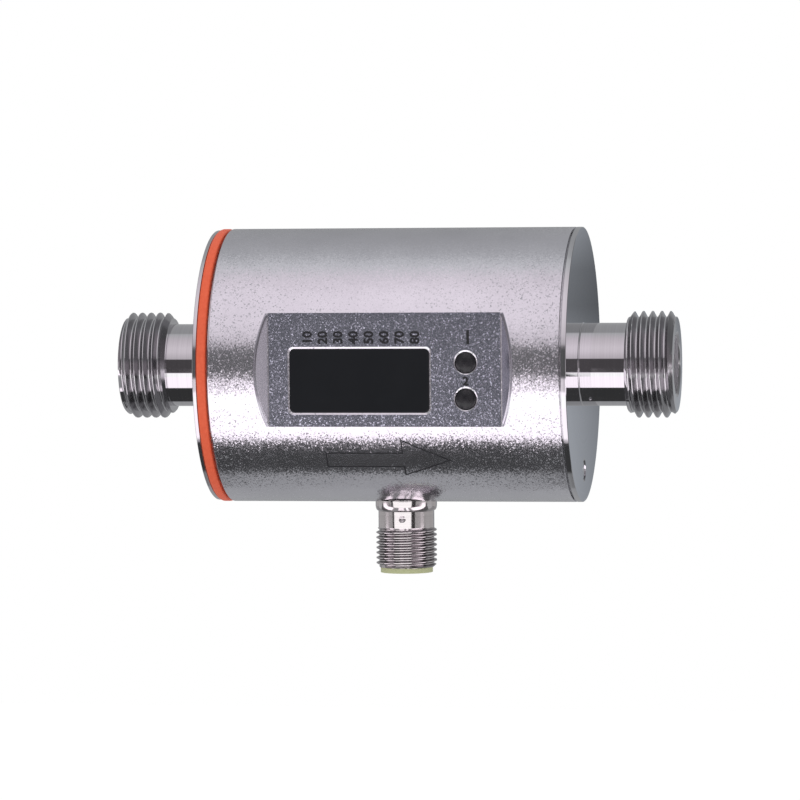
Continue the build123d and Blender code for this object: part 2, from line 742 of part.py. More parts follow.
# Buttons with their plungers, and the switches on the display board
button_front_y = panel_y - button_proud
for name, button_z in button_places.items():
    button_axis = depth_axis(button_x, button_z)
    with BuildPart() as button:
        turn(
            [
                (button_front_y, 0),
                (button_front_y, button_radius - button_dome),
                (button_front_y + button_dome, button_radius),
                (button_flange_y, button_radius),
                (button_flange_y, button_radius + button_flange),
                (button_flange_y + button_flange_thickness, button_radius + button_flange),
                (button_flange_y + button_flange_thickness, button_stem_radius),
                (button_end_y, button_stem_radius),
                (button_end_y, 0),
            ],
            button_axis,
        )
        rims = button.edges().filter_by(GeomType.CIRCLE).group_by(Axis.Y)
        fillet(rims[0] + rims[1], radius=button_dome / 2)
    save(button, f"{name}_button")
    plunger_base_y = plunger_tip_y + plunger_length
    with BuildPart() as plunger:
        rod(plunger_tip_y, plunger_base_y, plunger_radius, button_axis)
    save(plunger, f"{name}_plunger")
    with BuildPart() as switch:
        half = switch_size / 2
        switch_y = (switch_top_y, display_board_front)
        block((button_x - half, button_x + half), switch_y, (button_z - half, button_z + half))
        well = (switch_top_y, switch_top_y + plunger_well)
        rod(*well, plunger_radius + running_fit, button_axis, Mode.SUBTRACT)
    save(switch, f"{name}_switch")

# Connector shell: stem, grooved collar, neck and thread
groove_radius = collar_radius - collar_groove_depth
groove_bottom = collar_groove_top - collar_groove_width
with BuildPart() as connector_shell:
    turn(
        [
            (stem_top, shell_bore_radius - sleeve_wall),
            (stem_top, stem_radius),
            (collar_top, stem_radius),
            (collar_top, collar_radius),
            (collar_groove_top, collar_radius),
            (collar_groove_top, groove_radius),
            (groove_bottom, groove_radius),
            (groove_bottom, collar_radius),
            (collar_bottom + collar_chamfer, collar_radius),
            (collar_bottom, connector_neck_radius),
            (connector_thread_top, connector_neck_radius),
            (connector_thread_top - connector_thread_chamfer, connector_radius),
            (connector_thread_end + connector_thread_chamfer, connector_radius),
            (connector_thread_end, connector_radius - connector_thread_chamfer),
            (connector_thread_end, shell_bore_radius),
            (collar_top, shell_bore_radius),
            (collar_top, shell_bore_radius - sleeve_wall),
        ],
        connector_axis,
    )
save(connector_shell, "connector_shell")

connector_seal_section = (collar_radius - groove_radius) / 2
connector_seal_ring = (collar_radius + groove_radius) / 2
with BuildPart() as connector_seal:
    seal_station = (collar_groove_top + groove_bottom) / 2
    seal_ring(seal_station, connector_seal_ring, connector_seal_section, connector_axis)
save(connector_seal, "connector_seal")

with BuildPart() as connector_nut:
    with BuildSketch(Plane.XY.offset(boss_top)) as hexagon:
        with Locations((meter_mid, 0)):
            RegularPolygon(nut_across_flats / 2, 6, major_radius=False)
            Circle(stem_radius + close_fit, mode=Mode.SUBTRACT)
    extrude(amount=nut_height)
save(connector_nut, "connector_nut")

# Insert: a cup with a key, whose floor carries the pins
insert_radius = shell_bore_radius - close_fit
socket_floor = insert_end + socket_depth
pin_places = [pin_circle_radius * v for v in (Vector(1, 1, 0).normalized(), Vector(-1, 1, 0).normalized())]
pin_places = pin_places + [-place for place in pin_places]
with BuildPart() as connector_insert:
    turn(
        [
            (insert_end, socket_radius),
            (insert_end, insert_lip_radius),
            (connector_thread_end, insert_lip_radius),
            (connector_thread_end, insert_radius),
            (socket_floor + insert_floor, insert_radius),
            (socket_floor + insert_floor, 0),
            (socket_floor, 0),
            (socket_floor, socket_radius),
        ],
        connector_axis,
    )
    key_x = (meter_mid - key_width / 2, meter_mid + key_width / 2)
    key_y = (socket_radius - key_height, socket_radius + close_fit)
    block(key_x, key_y, (insert_end + pin_recess, socket_floor))
    for place in pin_places:
        pin_axis = Plane(origin=(meter_mid + place.X, place.Y, 0), x_dir=(0, 0, 1), z_dir=(0, 1, 0))
        rod(socket_floor, socket_floor + insert_floor, pin_radius, pin_axis, Mode.SUBTRACT)
save(connector_insert, "connector_insert")

with BuildPart() as contact_pins:
    for place in pin_places:
        pin_axis = Plane(origin=(meter_mid + place.X, place.Y, 0), x_dir=(0, 0, 1), z_dir=(0, 1, 0))
        rod(insert_end + pin_recess, connector_board_z, pin_radius, pin_axis)
    tips = contact_pins.edges().filter_by(GeomType.CIRCLE).group_by(Axis.Z)[0]
    chamfer(tips, length=pin_radius / 2)
save(contact_pins, "contact_pins")

# Small board on the pins, above the stem and clear of the sleeve's round, and its plug to the main board
link_start = meter_mid + terminal_reach + terminal_radius + link_gap
link_end = link_start + link_width
with BuildPart() as connector_board:
    board_x = (meter_mid - connector_board_side, link_end + link_margin)
    board_y = (connector_board_front, connector_board_rear)
    block(board_x, board_y, (connector_board_z, connector_board_top))
save(connector_board, "connector_board")

with BuildPart() as board_link:
    link_z = (connector_board_top, connector_board_top + link_height)
    block((link_start, link_end), (main_board_y - link_depth, main_board_y), link_z)
save(board_link, "board_link")
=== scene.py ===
import json
from math import atan2, cos, hypot, pi, radians, sin, sqrt

import bpy
from mathutils import Matrix, Vector


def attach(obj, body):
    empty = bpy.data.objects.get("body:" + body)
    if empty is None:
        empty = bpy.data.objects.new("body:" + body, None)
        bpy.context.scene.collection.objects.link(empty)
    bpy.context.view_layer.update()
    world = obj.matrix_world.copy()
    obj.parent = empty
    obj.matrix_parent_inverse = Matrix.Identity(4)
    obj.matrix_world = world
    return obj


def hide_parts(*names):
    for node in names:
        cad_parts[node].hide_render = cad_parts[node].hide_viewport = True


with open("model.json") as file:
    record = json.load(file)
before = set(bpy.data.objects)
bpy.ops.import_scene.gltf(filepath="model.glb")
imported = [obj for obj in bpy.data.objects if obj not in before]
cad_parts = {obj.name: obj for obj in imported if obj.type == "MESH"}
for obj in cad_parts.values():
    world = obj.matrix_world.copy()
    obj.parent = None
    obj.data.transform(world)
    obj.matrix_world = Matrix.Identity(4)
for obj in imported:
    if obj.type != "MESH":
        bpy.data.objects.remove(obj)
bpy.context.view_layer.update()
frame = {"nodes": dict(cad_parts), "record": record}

# Everything below is in millimetres until it is handed to Blender, which works in metres.
MM = 0.001

# Sizes that the dressed pieces share with the solids
BODY_RADIUS = 27.0
SLEEVE_WALL = 1.2
SLEEVE_START = 21.87
SLEEVE_END = 90.2
METER_MID = (SLEEVE_START + SLEEVE_END) / 2
METER_LENGTH = 110.0
PANEL_WIDTH = 45.6
PANEL_HALF_HEIGHT = 11.0
PANEL_END_RUN = 2.1
PANEL_Y = -sqrt(BODY_RADIUS**2 - PANEL_HALF_HEIGHT**2)
WINDOW_X = (37.5, 64.75)
WINDOW_Z = (-8.27, 4.03)
BUTTON_X = 71.86
BUTTON_Z = {"mode": 1.32, "set": -5.69}
BUTTON_RADIUS = 2.065
PLUG_DROP = 20.8


# ---- Handling ----
def lay_down():
    """Leave edit mode with nothing selected."""
    if bpy.context.object and bpy.context.object.mode != "OBJECT":
        bpy.ops.object.mode_set(mode="OBJECT")
    bpy.ops.object.select_all(action="DESELECT")


def take(piece):
    """Select one piece alone and make it the active one."""
    lay_down()
    piece.select_set(True)
    bpy.context.view_layer.objects.active = piece
    return piece


def just_added(name):
    """Name the piece that Blender has just added."""
    piece = bpy.context.object
    piece.name = name
    return piece


def open_mesh(piece):
    """Go into edit mode with nothing of the mesh selected."""
    take(piece)
    bpy.ops.object.mode_set(mode="EDIT")
    bpy.ops.mesh.select_all(action="DESELECT")


def choose(piece, test, kind="VERT"):
    """Select the vertices, edges or faces whose middle passes a test, in millimetres."""
    bpy.ops.object.mode_set(mode="OBJECT")
    mesh = piece.data
    place = piece.matrix_world
    for group in (mesh.vertices, mesh.edges, mesh.polygons):
        group.foreach_set("select", [False] * len(group))
    points = [place @ v.co / MM for v in mesh.vertices]
    if kind == "VERT":
        for v in mesh.vertices:
            v.select = test(points[v.index])
    elif kind == "EDGE":
        for e in mesh.edges:
            e.select = test(points[e.vertices[0]], points[e.vertices[1]])
    else:
        for f in mesh.polygons:
            f.select = test(place @ f.center / MM, f.normal)
    bpy.ops.object.mode_set(mode="EDIT")
    bpy.ops.mesh.select_mode(type=kind)


def settle(piece):
    """Put the piece's place into its mesh, so that its object sits at the origin."""
    take(piece)
    bpy.ops.object.transform_apply(location=True, rotation=True, scale=True)
    return piece


def start_line(name, place):
    """A single vertex, open and selected, ready to be drawn out into a line."""
    lay_down()
    bpy.ops.mesh.primitive_plane_add(size=0.01 * MM, location=place)
    piece = just_added(name)
    bpy.ops.object.mode_set(mode="EDIT")
    bpy.ops.mesh.select_mode(type="VERT")
    bpy.ops.mesh.select_all(action="SELECT")
    bpy.ops.mesh.merge(type="CENTER")
    return piece


def fit(piece, kind, **settings):
    """Add a modifier and apply it."""
    take(piece)
    modifier = piece.modifiers.new(kind.lower(), kind)
    for key, value in settings.items():
        setattr(modifier, key, value)
    bpy.ops.object.modifier_apply(modifier=modifier.name)


def close_up(piece, merge=0.0005):
    """Merge doubles and turn every face outwards."""
    open_mesh(piece)
    bpy.ops.mesh.select_all(action="SELECT")
    bpy.ops.mesh.remove_doubles(threshold=merge * MM)
    bpy.ops.mesh.normals_make_consistent(inside=False)
    lay_down()


def soften(piece, angle=28):
    """Shade smooth, with edges steeper than an angle left crisp."""
    take(piece)
    bpy.ops.object.shade_smooth_by_angle(angle=radians(angle))
    return piece


def cut_away(piece, cutter):
    """Take a cutter's shape out of a piece and throw the cutter away."""
    fit(piece, "BOOLEAN", operation="DIFFERENCE", solver="EXACT", object=cutter)
    bpy.data.objects.remove(cutter)


# ---- Turned work ----
class Axis:
    """A line that turned pieces are drawn along: x is along it, radius is away from it."""

    def __init__(self, centre, way):
        self.centre = Vector(centre)
        self.way = Vector(way)
        self.tilt = self.way.to_track_quat("Z", "Y").to_euler()

    def at(self, along):
        """The place at a distance along the axis."""
        return (self.centre + self.way * along) * MM

    def reach(self, spot):
        """How far along the axis a spot lies, its foot on the axis and the way out from there."""
        along = (spot / MM - self.centre).dot(self.way)
        foot = self.at(along)
        return along, foot, spot - foot

    def across(self):
        """Scale factors that leave the axis alone."""
        return lambda k: tuple(1.0 if abs(w) > 0.5 else k for w in self.way)


PIPE = Axis((0, 0, 0), (1, 0, 0))
CONNECTOR = Axis((METER_MID, 0, 0), (0, 0, 1))


THREAD_STEPS = 144


def draw_on(axis, stations):
    """Extrude the selected ring from station to station, as (along, radius)."""
    for (x0, r0), (x1, r1) in zip(stations, stations[1:]):
        bpy.ops.mesh.extrude_edges_move(TRANSFORM_OT_translate={"value": axis.way * (x1 - x0) * MM})
        if abs(r1 - r0) > 1e-9:
            bpy.ops.transform.resize(value=axis.across()(r1 / r0), center_override=axis.at(x1))


def turned(name, axis, stations, steps=256, ends="joined"):
    """A turned piece: a ring drawn out along its axis. Its ends are joined, capped or left open."""
    lay_down()
    start, radius = stations[0]
    bpy.ops.mesh.primitive_circle_add(vertices=steps, radius=radius * MM, location=axis.at(start), rotation=axis.tilt)
    piece = settle(just_added(name))
    bpy.ops.object.mode_set(mode="EDIT")
    bpy.ops.mesh.select_mode(type="EDGE")
    bpy.ops.mesh.select_all(action="SELECT")
    draw_on(axis, stations)
    if ends == "open":
        lay_down()
        return piece
    if ends == "joined":
        bpy.ops.mesh.select_all(action="DESELECT")
        bpy.ops.mesh.select_non_manifold()
        bpy.ops.mesh.bridge_edge_loops()
    else:
        bpy.ops.mesh.edge_face_add()
        lay_down()
        open_mesh(piece)
        bpy.ops.mesh.select_mode(type="EDGE")
        bpy.ops.mesh.select_non_manifold()
        bpy.ops.mesh.edge_face_add()
    close_up(piece)
    return piece


def thread_skin(name, axis, side, half_profile, pitch, crest_at, limits, envelope):
    """A helix swept from one pitch of profile, held inside an envelope and trimmed to its length."""
    low, high = limits
    turns = int((high - low) / pitch) + 4
    first = crest_at - pitch * (int((crest_at - low) / pitch) + 2)
    profile = [(first - dx, r) for dx, r in reversed(half_profile)] + [(first + dx, r) for dx, r in half_profile[1:]]
    x0, r0 = profile[0]
    skin = start_line(name, axis.at(x0) + Vector(side) * r0 * MM)
    for (x1, r1), (x2, r2) in zip(profile, profile[1:]):
        step = (axis.way * (x2 - x1) + Vector(side) * (r2 - r1)) * MM
        bpy.ops.mesh.extrude_vertices_move(TRANSFORM_OT_translate={"value": step})
    lay_down()
    take(skin)
    bpy.context.scene.cursor.location = axis.at(0)
    bpy.ops.object.origin_set(type="ORIGIN_CURSOR")
    bpy.context.scene.cursor.location = (0, 0, 0)
    fit(
        skin, "SCREW", axis="X" if abs(axis.way.x) > 0.5 else "Z", angle=2 * pi, screw_offset=pitch * MM,
        iterations=turns, steps=THREAD_STEPS, render_steps=THREAD_STEPS, use_merge_vertices=True,
        merge_threshold=1e-6, use_smooth_shade=True,
    )
    settle(skin)
    for v in skin.data.vertices:
        along, foot, away = axis.reach(v.co)
        radius = away.length / MM
        lowest, highest = envelope(along)
        v.co = foot + away * (min(max(radius, lowest), highest) / radius)
    for end, keep_below in ((low, False), (high, True)):
        open_mesh(skin)
        bpy.ops.mesh.select_all(action="SELECT")
        bpy.ops.mesh.bisect(
            plane_co=axis.at(end), plane_no=axis.way, clear_inner=not keep_below, clear_outer=keep_below,
            threshold=1e-8,
        )
        lay_down()
    for v in skin.data.vertices:
        along, foot, away = axis.reach(v.co)
        if min(abs(along - low), abs(along - high)) < 1e-3:
            v.co = foot + away * (envelope(along)[0] * MM / away.length)
    open_mesh(skin)
    bpy.ops.mesh.select_all(action="SELECT")
    bpy.ops.mesh.remove_doubles(threshold=0.004 * MM)
    bpy.ops.mesh.dissolve_degenerate(threshold=0.002 * MM)
    lay_down()
    return skin


def add_core(skin, axis, stations):
    """Join a thread's skin to the turned rest of its piece, bridging the gap at both ends of the skin."""
    core = turned("core", axis, stations, 256, ends="open")
    lay_down()
    core.select_set(True)
    skin.select_set(True)
    bpy.context.view_layer.objects.active = skin
    bpy.ops.object.join()
    for station in (stations[0][0], stations[-1][0]):
        take(skin)
        faces_at = {}
        for face in skin.data.polygons:
            for key in face.edge_keys:
                faces_at[key] = faces_at.get(key, 0) + 1
        rims = {key for key, faces in faces_at.items() if faces == 1}
        points = [axis.reach(v.co)[0] for v in skin.data.vertices]
        for group in (skin.data.vertices, skin.data.edges, skin.data.polygons):
            group.foreach_set("select", [False] * len(group))
        for edge in skin.data.edges:
            edge.select = edge.key in rims and abs(points[edge.vertices[0]] - station) < 0.1
            if edge.select:
                for index in edge.vertices:
                    skin.data.vertices[index].select = True
        bpy.ops.object.mode_set(mode="EDIT")
        bpy.ops.mesh.select_mode(type="EDGE")
        bpy.ops.mesh.bridge_edge_loops()
        lay_down()
    close_up(skin, 0.0002)
    return skin


# ---- Stubs with their pipe threads ----
PIPE_THREAD = 9.4
PIPE_PITCH = 1.814
PIPE_CREST = 10.4775
PIPE_ROOT = 9.3155
PIPE_TIP = 9.2775
NECK_RADIUS = 8.15
PORT_BORE = 6.0
TUBE_SEAT = 8.55
STUB_FLANGE = 17.0
RIM_STEP = 0.05
PIPE_PROFILE = [
    (0, PIPE_CREST), (0.1, 10.455), (0.17, 10.37), (0.69, 9.43), (0.79, 9.335), (PIPE_PITCH / 2, PIPE_ROOT),
]


def pipe_stub(name, end, inward, crest_at, seat):
    """A stub from its threaded end to the flange that holds the measuring tube. inward is +1 or -1."""
    inner_end = end + inward * PIPE_THREAD

    def envelope(x):
        depth = min(abs(x - end), abs(x - inner_end))
        return PIPE_TIP, min(PIPE_CREST, PIPE_TIP + max(depth, 0.0))

    # The rims that are bridged lie a small step apart along the axis, so that the bridge knows which way to run.
    limits = sorted((end + inward * RIM_STEP, inner_end))
    stub = thread_skin(name, PIPE, (0, 0, 1), PIPE_PROFILE, PIPE_PITCH, crest_at, limits, envelope)
    stations = [
        (0, 9.23), (0, 6.45), (0.06, 6.36), (0.4, PORT_BORE), (seat + 1, PORT_BORE), (seat + 1, TUBE_SEAT),
        (seat + 5, TUBE_SEAT), (seat + 5, STUB_FLANGE), (seat, STUB_FLANGE), (seat, NECK_RADIUS),
        (seat - 2.99, NECK_RADIUS), (seat - 2.995, 8.3), (seat - 3.08, 8.29), (seat - 3.17, NECK_RADIUS),
        (PIPE_THREAD + 0.09, NECK_RADIUS), (PIPE_THREAD + RIM_STEP, 8.19), (PIPE_THREAD + RIM_STEP, 9.23),
    ]
    add_core(stub, PIPE, [(end + inward * x, r) for x, r in stations])
    return soften(stub, 32)


inlet_stub = pipe_stub("threaded_inlet_stub", 0.0, 1, 1.2, 21.7)
outlet_stub = pipe_stub("threaded_outlet_stub", METER_LENGTH, -1, 108.87, 21.47)

# ---- Covers and the ring ----
COVER_BORE = 8.2
SPIGOT_RADIUS = 25.75
SPIGOT_BORE = 24.15

inlet_cover = turned("turned_inlet_cover", PIPE, [
    (18.7, COVER_BORE), (18.7, 26.68), (18.77, 26.75), (19.38, 26.75), (19.43, 26.7), (19.43, 24.35), (21.35, 24.35),
    (21.35, SPIGOT_RADIUS), (27.27, SPIGOT_RADIUS), (27.27, SPIGOT_BORE), (21.7, SPIGOT_BORE), (21.7, COVER_BORE),
], 360)
soften(inlet_cover)

outlet_cover = turned("turned_outlet_cover", PIPE, [
    (91.53, COVER_BORE), (91.53, 26.91), (91.44, BODY_RADIUS), (90.56, BODY_RADIUS), (90.5, 26.94),
    (90.5, SPIGOT_RADIUS), (84.8, SPIGOT_RADIUS), (84.8, SPIGOT_BORE), (88.53, SPIGOT_BORE), (88.53, COVER_BORE),
], 360)
plug_line = Axis((0, 0, -PLUG_DROP), (1, 0, 0))
plug_seat = turned("plug_seat", plug_line, [
    (88.0, 1.45), (90.03, 1.45), (90.03, 2.05), (90.9, 2.05), (91.3, 2.2), (91.6, 2.45), (92.0, 2.45),
], 64, ends="capped")
cut_away(outlet_cover, plug_seat)
soften(outlet_cover)

vent_plug = turned("pressed_vent_plug", plug_line, [
    (91.33, 0.45), (91.38, 0.7), (91.38, 1.5), (91.33, 1.68), (91.15, 1.8), (90.9, 1.84), (90.6, 2.0), (90.08, 2.0),
    (90.08, 1.4), (88.53, 1.4),
], 64, ends="capped")
soften(vent_plug)

housing_ring = turned("orange_sealing_ring", PIPE, [
    (19.5, 24.4), (19.5, 26.62), (19.56, 26.8), (19.7, 26.93), (19.9, BODY_RADIUS), (20.9, BODY_RADIUS),
    (21.1, 26.93), (21.24, 26.8), (21.3, 26.62), (21.3, 24.4),
], 360)
soften(housing_ring, 40)


# ---- Housing sleeve with its pressed panel ----
def slab(name, x_range, y_range, z_range):
    """A block between its limits, used as a cutter or a start."""
    lay_down()
    middle = [sum(r) / 2 * MM for r in (x_range, y_range, z_range)]
    size = [(r[1] - r[0]) * MM for r in (x_range, y_range, z_range)]
    bpy.ops.mesh.primitive_cube_add(size=1, location=middle, scale=size)
    return settle(just_added(name))


TOOL_CLEARANCE = 2.4


def press_tool(grow):
    """The trapezoid that presses the panel, its mouth wider than its floor."""
    slope = PANEL_END_RUN / (BODY_RADIUS + PANEL_Y)
    shift = grow * (sqrt(1 + slope**2) - slope)
    floor_y = PANEL_Y + grow
    half_floor = PANEL_WIDTH / 2 + shift
    half_mouth = half_floor + slope * (BODY_RADIUS + floor_y + TOOL_CLEARANCE)
    tool = slab(
        "press_tool", (METER_MID - half_floor, METER_MID + half_floor),
        (-BODY_RADIUS - TOOL_CLEARANCE, floor_y), (-27.5, 27.5),
    )
    choose(tool, lambda p: p.y < -BODY_RADIUS)
    bpy.ops.transform.resize(value=(half_mouth / half_floor, 1, 1), center_override=(METER_MID * MM, 0, 0))
    choose(tool, lambda a, b: all(abs(p.y - floor_y) < 0.01 for p in (a, b)) and abs(a.z - b.z) > 1, "EDGE")
    bpy.ops.mesh.bevel(offset=0.22 * MM, segments=3, affect="EDGES")
    lay_down()
    return tool


def rounded_plate(name, x_range, z_range, y_front, y_back, corner, steps=8):
    """A plate parallel to the panel with rounded corners."""
    lay_down()
    middle = ((x_range[0] + x_range[1]) / 2 * MM, y_front * MM, (z_range[0] + z_range[1]) / 2 * MM)
    bpy.ops.mesh.primitive_plane_add(size=1, location=middle, rotation=(pi / 2, 0, 0))
    plate = just_added(name)
    plate.scale = ((x_range[1] - x_range[0]) * MM, (z_range[1] - z_range[0]) * MM, 1)
    settle(plate)
    bpy.ops.object.mode_set(mode="EDIT")
    bpy.ops.mesh.select_mode(type="VERT")
    bpy.ops.mesh.select_all(action="SELECT")
    bpy.ops.mesh.bevel(offset=corner * MM, segments=steps, affect="VERTICES", clamp_overlap=False)
    bpy.ops.mesh.select_mode(type="FACE")
    bpy.ops.mesh.select_all(action="SELECT")
    bpy.ops.mesh.extrude_region_move(TRANSFORM_OT_translate={"value": (0, (y_back - y_front) * MM, 0)})
    bpy.ops.mesh.select_all(action="SELECT")
    bpy.ops.mesh.normals_make_consistent(inside=False)
    lay_down()
    return plate


def bar(name, axis, start, end, radius, steps=512):
    """A plain bar, used as a cutter or a start."""
    lay_down()
    bpy.ops.mesh.primitive_cylinder_add(
        vertices=steps, radius=radius * MM, depth=(end - start) * MM,
        location=axis.at((start + end) / 2), rotation=axis.tilt,
    )
    return settle(just_added(name))


sleeve = bar("pressed_housing_sleeve", PIPE, SLEEVE_START, SLEEVE_END, BODY_RADIUS)
cut_away(sleeve, press_tool(0.0))


def on_arc(a, b):
    """An edge of the curved rims at the ends of the panel."""
    return all(
        abs(hypot(p.y, p.z) - BODY_RADIUS) < 0.02 and SLEEVE_START + 2 < p.x < SLEEVE_END - 2 and p.y < PANEL_Y - 1e-4
        for p in (a, b)
    ) and abs(a.x - b.x) > 1e-5


def on_long_rim(a, b):
    """An edge where the panel meets the round of the sleeve, above or below."""
    return abs(a.x - b.x) > 1 and all(
        abs(abs(p.z) - PANEL_HALF_HEIGHT) < 0.02 and abs(p.y - PANEL_Y) < 0.02 for p in (a, b)
    )


def on_end(a, b):
    """An edge of the sleeve's two ends."""
    return all(min(abs(p.x - SLEEVE_START), abs(p.x - SLEEVE_END)) < 0.001 for p in (a, b))


open_mesh(sleeve)
for test, width, steps in ((on_arc, 0.4, 4), (on_long_rim, 0.14, 2), (on_end, 0.12, 2)):
    choose(sleeve, test, "EDGE")
    bpy.ops.mesh.bevel(offset=width * MM, segments=steps, affect="EDGES")
lay_down()

hollow = bar("sleeve_hollow", PIPE, SLEEVE_START - 1, SLEEVE_END + 1, BODY_RADIUS - SLEEVE_WALL)
cut_away(hollow, press_tool(SLEEVE_WALL))
cut_away(hollow, bar("boss_space", CONNECTOR, -BODY_RADIUS, -22.4, 8.5, 96))
cut_away(sleeve, hollow)

# The punch rolls the opening's edge in, so its cutter flares at a flat angle from a little inside the panel.
PANE_GAP = 0.05
ROLL_DEPTH = 0.13
ROLL_WIDTH = 0.68
opening = rounded_plate(
    "window_opening", (WINDOW_X[0] - PANE_GAP, WINDOW_X[1] + PANE_GAP),
    (WINDOW_Z[0] - PANE_GAP, WINDOW_Z[1] + PANE_GAP), PANEL_Y + ROLL_DEPTH, PANEL_Y + 3, 1.0,
)
choose(opening, lambda c, n: n.y < -0.5, "FACE")
half_x = (WINDOW_X[1] - WINDOW_X[0]) / 2 + PANE_GAP
half_z = (WINDOW_Z[1] - WINDOW_Z[0]) / 2 + PANE_GAP
bpy.ops.mesh.extrude_region_move(TRANSFORM_OT_translate={"value": (0, -2 * ROLL_DEPTH * MM, 0)})
bpy.ops.transform.resize(value=((half_x + ROLL_WIDTH) / half_x, 1, (half_z + ROLL_WIDTH) / half_z))
lay_down()
cut_away(sleeve, opening)

# The button holes are rolled in the same way; their rims are a little narrow and sit a little high.
for z in BUTTON_Z.values():
    line = Axis((BUTTON_X, 0, z), (0, 1, 0))
    hole = turned("button_hole", line, [
        (PANEL_Y - 0.13, 2.72), (PANEL_Y + 0.1, 2.12), (PANEL_Y + 3, 2.12),
    ], 96, ends="capped")
    choose(hole, lambda p: p.y < PANEL_Y - 0.1)
    bpy.ops.transform.resize(value=(0.93, 1, 1), center_override=line.at(PANEL_Y))
    bpy.ops.transform.translate(value=(0, 0, 0.13 * MM))
    lay_down()
    cut_away(sleeve, hole)
cut_away(sleeve, bar("collar_seat", CONNECTOR, -BODY_RADIUS - 1, -24.55, 6.125, 128))
cut_away(sleeve, bar("stem_seat", CONNECTOR, -BODY_RADIUS - 1, -20, 5.05, 128))
close_up(sleeve, 0.0002)
soften(sleeve, 14)
fit(sleeve, "WEIGHTED_NORMAL", mode="FACE_AREA", weight=100, keep_sharp=True)

# ---- Display window ----
PANE_FRONT = PANEL_Y + 0.1
PANE_FLANGE = 1.2
window = rounded_plate("display_pane", WINDOW_X, WINDOW_Z, PANE_FRONT, PANEL_Y + 1.6, 1.0)
choose(window, lambda a, b: all(abs(p.y - PANE_FRONT) < 0.01 for p in (a, b)), "EDGE")
bpy.ops.mesh.bevel(offset=0.12 * MM, segments=3, affect="EDGES")
flange = rounded_plate(
    "pane_flange", (WINDOW_X[0] - PANE_FLANGE, WINDOW_X[1] + PANE_FLANGE),
    (WINDOW_Z[0] - PANE_FLANGE, WINDOW_Z[1] + PANE_FLANGE), PANEL_Y + 1.6, PANEL_Y + 2.6, 1.6,
)
lay_down()
flange.select_set(True)
window.select_set(True)
bpy.context.view_layer.objects.active = window
bpy.ops.object.join()
soften(window, 15)

# ---- Push buttons ----
buttons = {}
for name, z in BUTTON_Z.items():
    line = Axis((BUTTON_X, 0, z), (0, 1, 0))
    front = PANEL_Y - 0.35
    dome = (
        (0, 0.2), (0.03, 0.6), (0.09, 1.0), (0.18, 1.35), (0.29, 1.65), (0.39, 1.87), (0.48, 1.99), (0.58, 2.045),
        (0.66, BUTTON_RADIUS),
    )
    buttons[name] = turned(f"domed_{name}_button", line, [
        *[(front + depth, radius) for depth, radius in dome],
        (PANEL_Y + 1.25, BUTTON_RADIUS), (PANEL_Y + 1.25, 2.815), (PANEL_Y + 1.95, 2.815), (PANEL_Y + 1.95, 1.4),
        (-21.348, 1.4),
    ], 96, ends="capped")
    soften(buttons[name], 40)

# ---- Plug connector ----
PLUG_PITCH = 1.0
PLUG_TIP = -40.0
PLUG_RUNOUT = -32.1
PLUG_CREST = 6.0
PLUG_NECK = 5.525
PLUG_PROFILE = [(0, PLUG_CREST), (0.09, 5.99), (0.13, 5.95), (0.37, 5.46), (0.42, 5.405), (0.5, 5.387)]


def plug_envelope(z):
    """Chamfer at the tip, and the thread running out into the neck above."""
    tip = z - PLUG_TIP
    top = PLUG_RUNOUT - z
    runout = PLUG_NECK - 0.14 * min(max(top, 0.0) / 0.35, 1.0)
    lowest = runout if top < 1 else 5.36
    return lowest, max(min(PLUG_CREST, 5.37 + max(tip, 0.0), PLUG_NECK + max(top, 0.0)), lowest)


plug_shell = thread_skin(
    "threaded_plug_shell", CONNECTOR, (0, -1, 0), PLUG_PROFILE, PLUG_PITCH, -32.9, (PLUG_TIP + RIM_STEP, PLUG_RUNOUT),
    plug_envelope,
)
add_core(plug_shell, CONNECTOR, [
    (PLUG_RUNOUT + RIM_STEP, PLUG_NECK), *[(-30.9 + 0.15 * row, PLUG_NECK) for row in range(11)],
    (-28.82, PLUG_NECK), (-28.78, 5.56), (-28.73, 5.7), (-28.6, 5.85), (-28.35, 5.97), (-28.0, 6.05), (-27.7, 6.075),
    (-26.65, 6.075), (-26.6, 6.02),
    (-26.6, 5.295), (-25.6, 5.295), (-25.6, 6.075), (-24.6, 6.075), (-24.6, 5.0), (-20.0, 5.0), (-20.0, 3.6),
    (-24.6, 3.6), (-24.6, 4.8), (PLUG_TIP, 4.8), (PLUG_TIP, 5.34),
])
# A round dent in the neck marks the plug's key.
DENT_X, DENT_Z = 56.1, -30.15
DENT_RADIUS = 0.58
DENT_DEPTH = 0.26
for v in plug_shell.data.vertices:
    gap = hypot(v.co.x / MM - DENT_X, v.co.z / MM - DENT_Z)
    if gap < DENT_RADIUS and v.co.y < -5.3 * MM:
        v.co.y += DENT_DEPTH * (1 - (gap / DENT_RADIUS) ** 2) * MM
soften(plug_shell, 32)


# ---- Printed marks ----
def printed(name, corners, line_width):
    """A closed outline of strips, drawn flat in x and z."""
    x0, z0 = corners[0]
    mark = start_line(name, (x0 * MM, 0, z0 * MM))
    for (x1, z1), (x2, z2) in zip(corners, corners[1:]):
        bpy.ops.mesh.extrude_vertices_move(TRANSFORM_OT_translate={"value": ((x2 - x1) * MM, 0, (z2 - z1) * MM)})
    bpy.ops.mesh.select_all(action="SELECT")
    bpy.ops.mesh.edge_face_add()
    bpy.ops.mesh.select_mode(type="FACE")
    bpy.ops.mesh.select_all(action="SELECT")
    bpy.ops.mesh.inset(thickness=line_width * MM, use_even_offset=True)
    bpy.ops.mesh.delete(type="FACE")
    lay_down()
    return settle(mark)


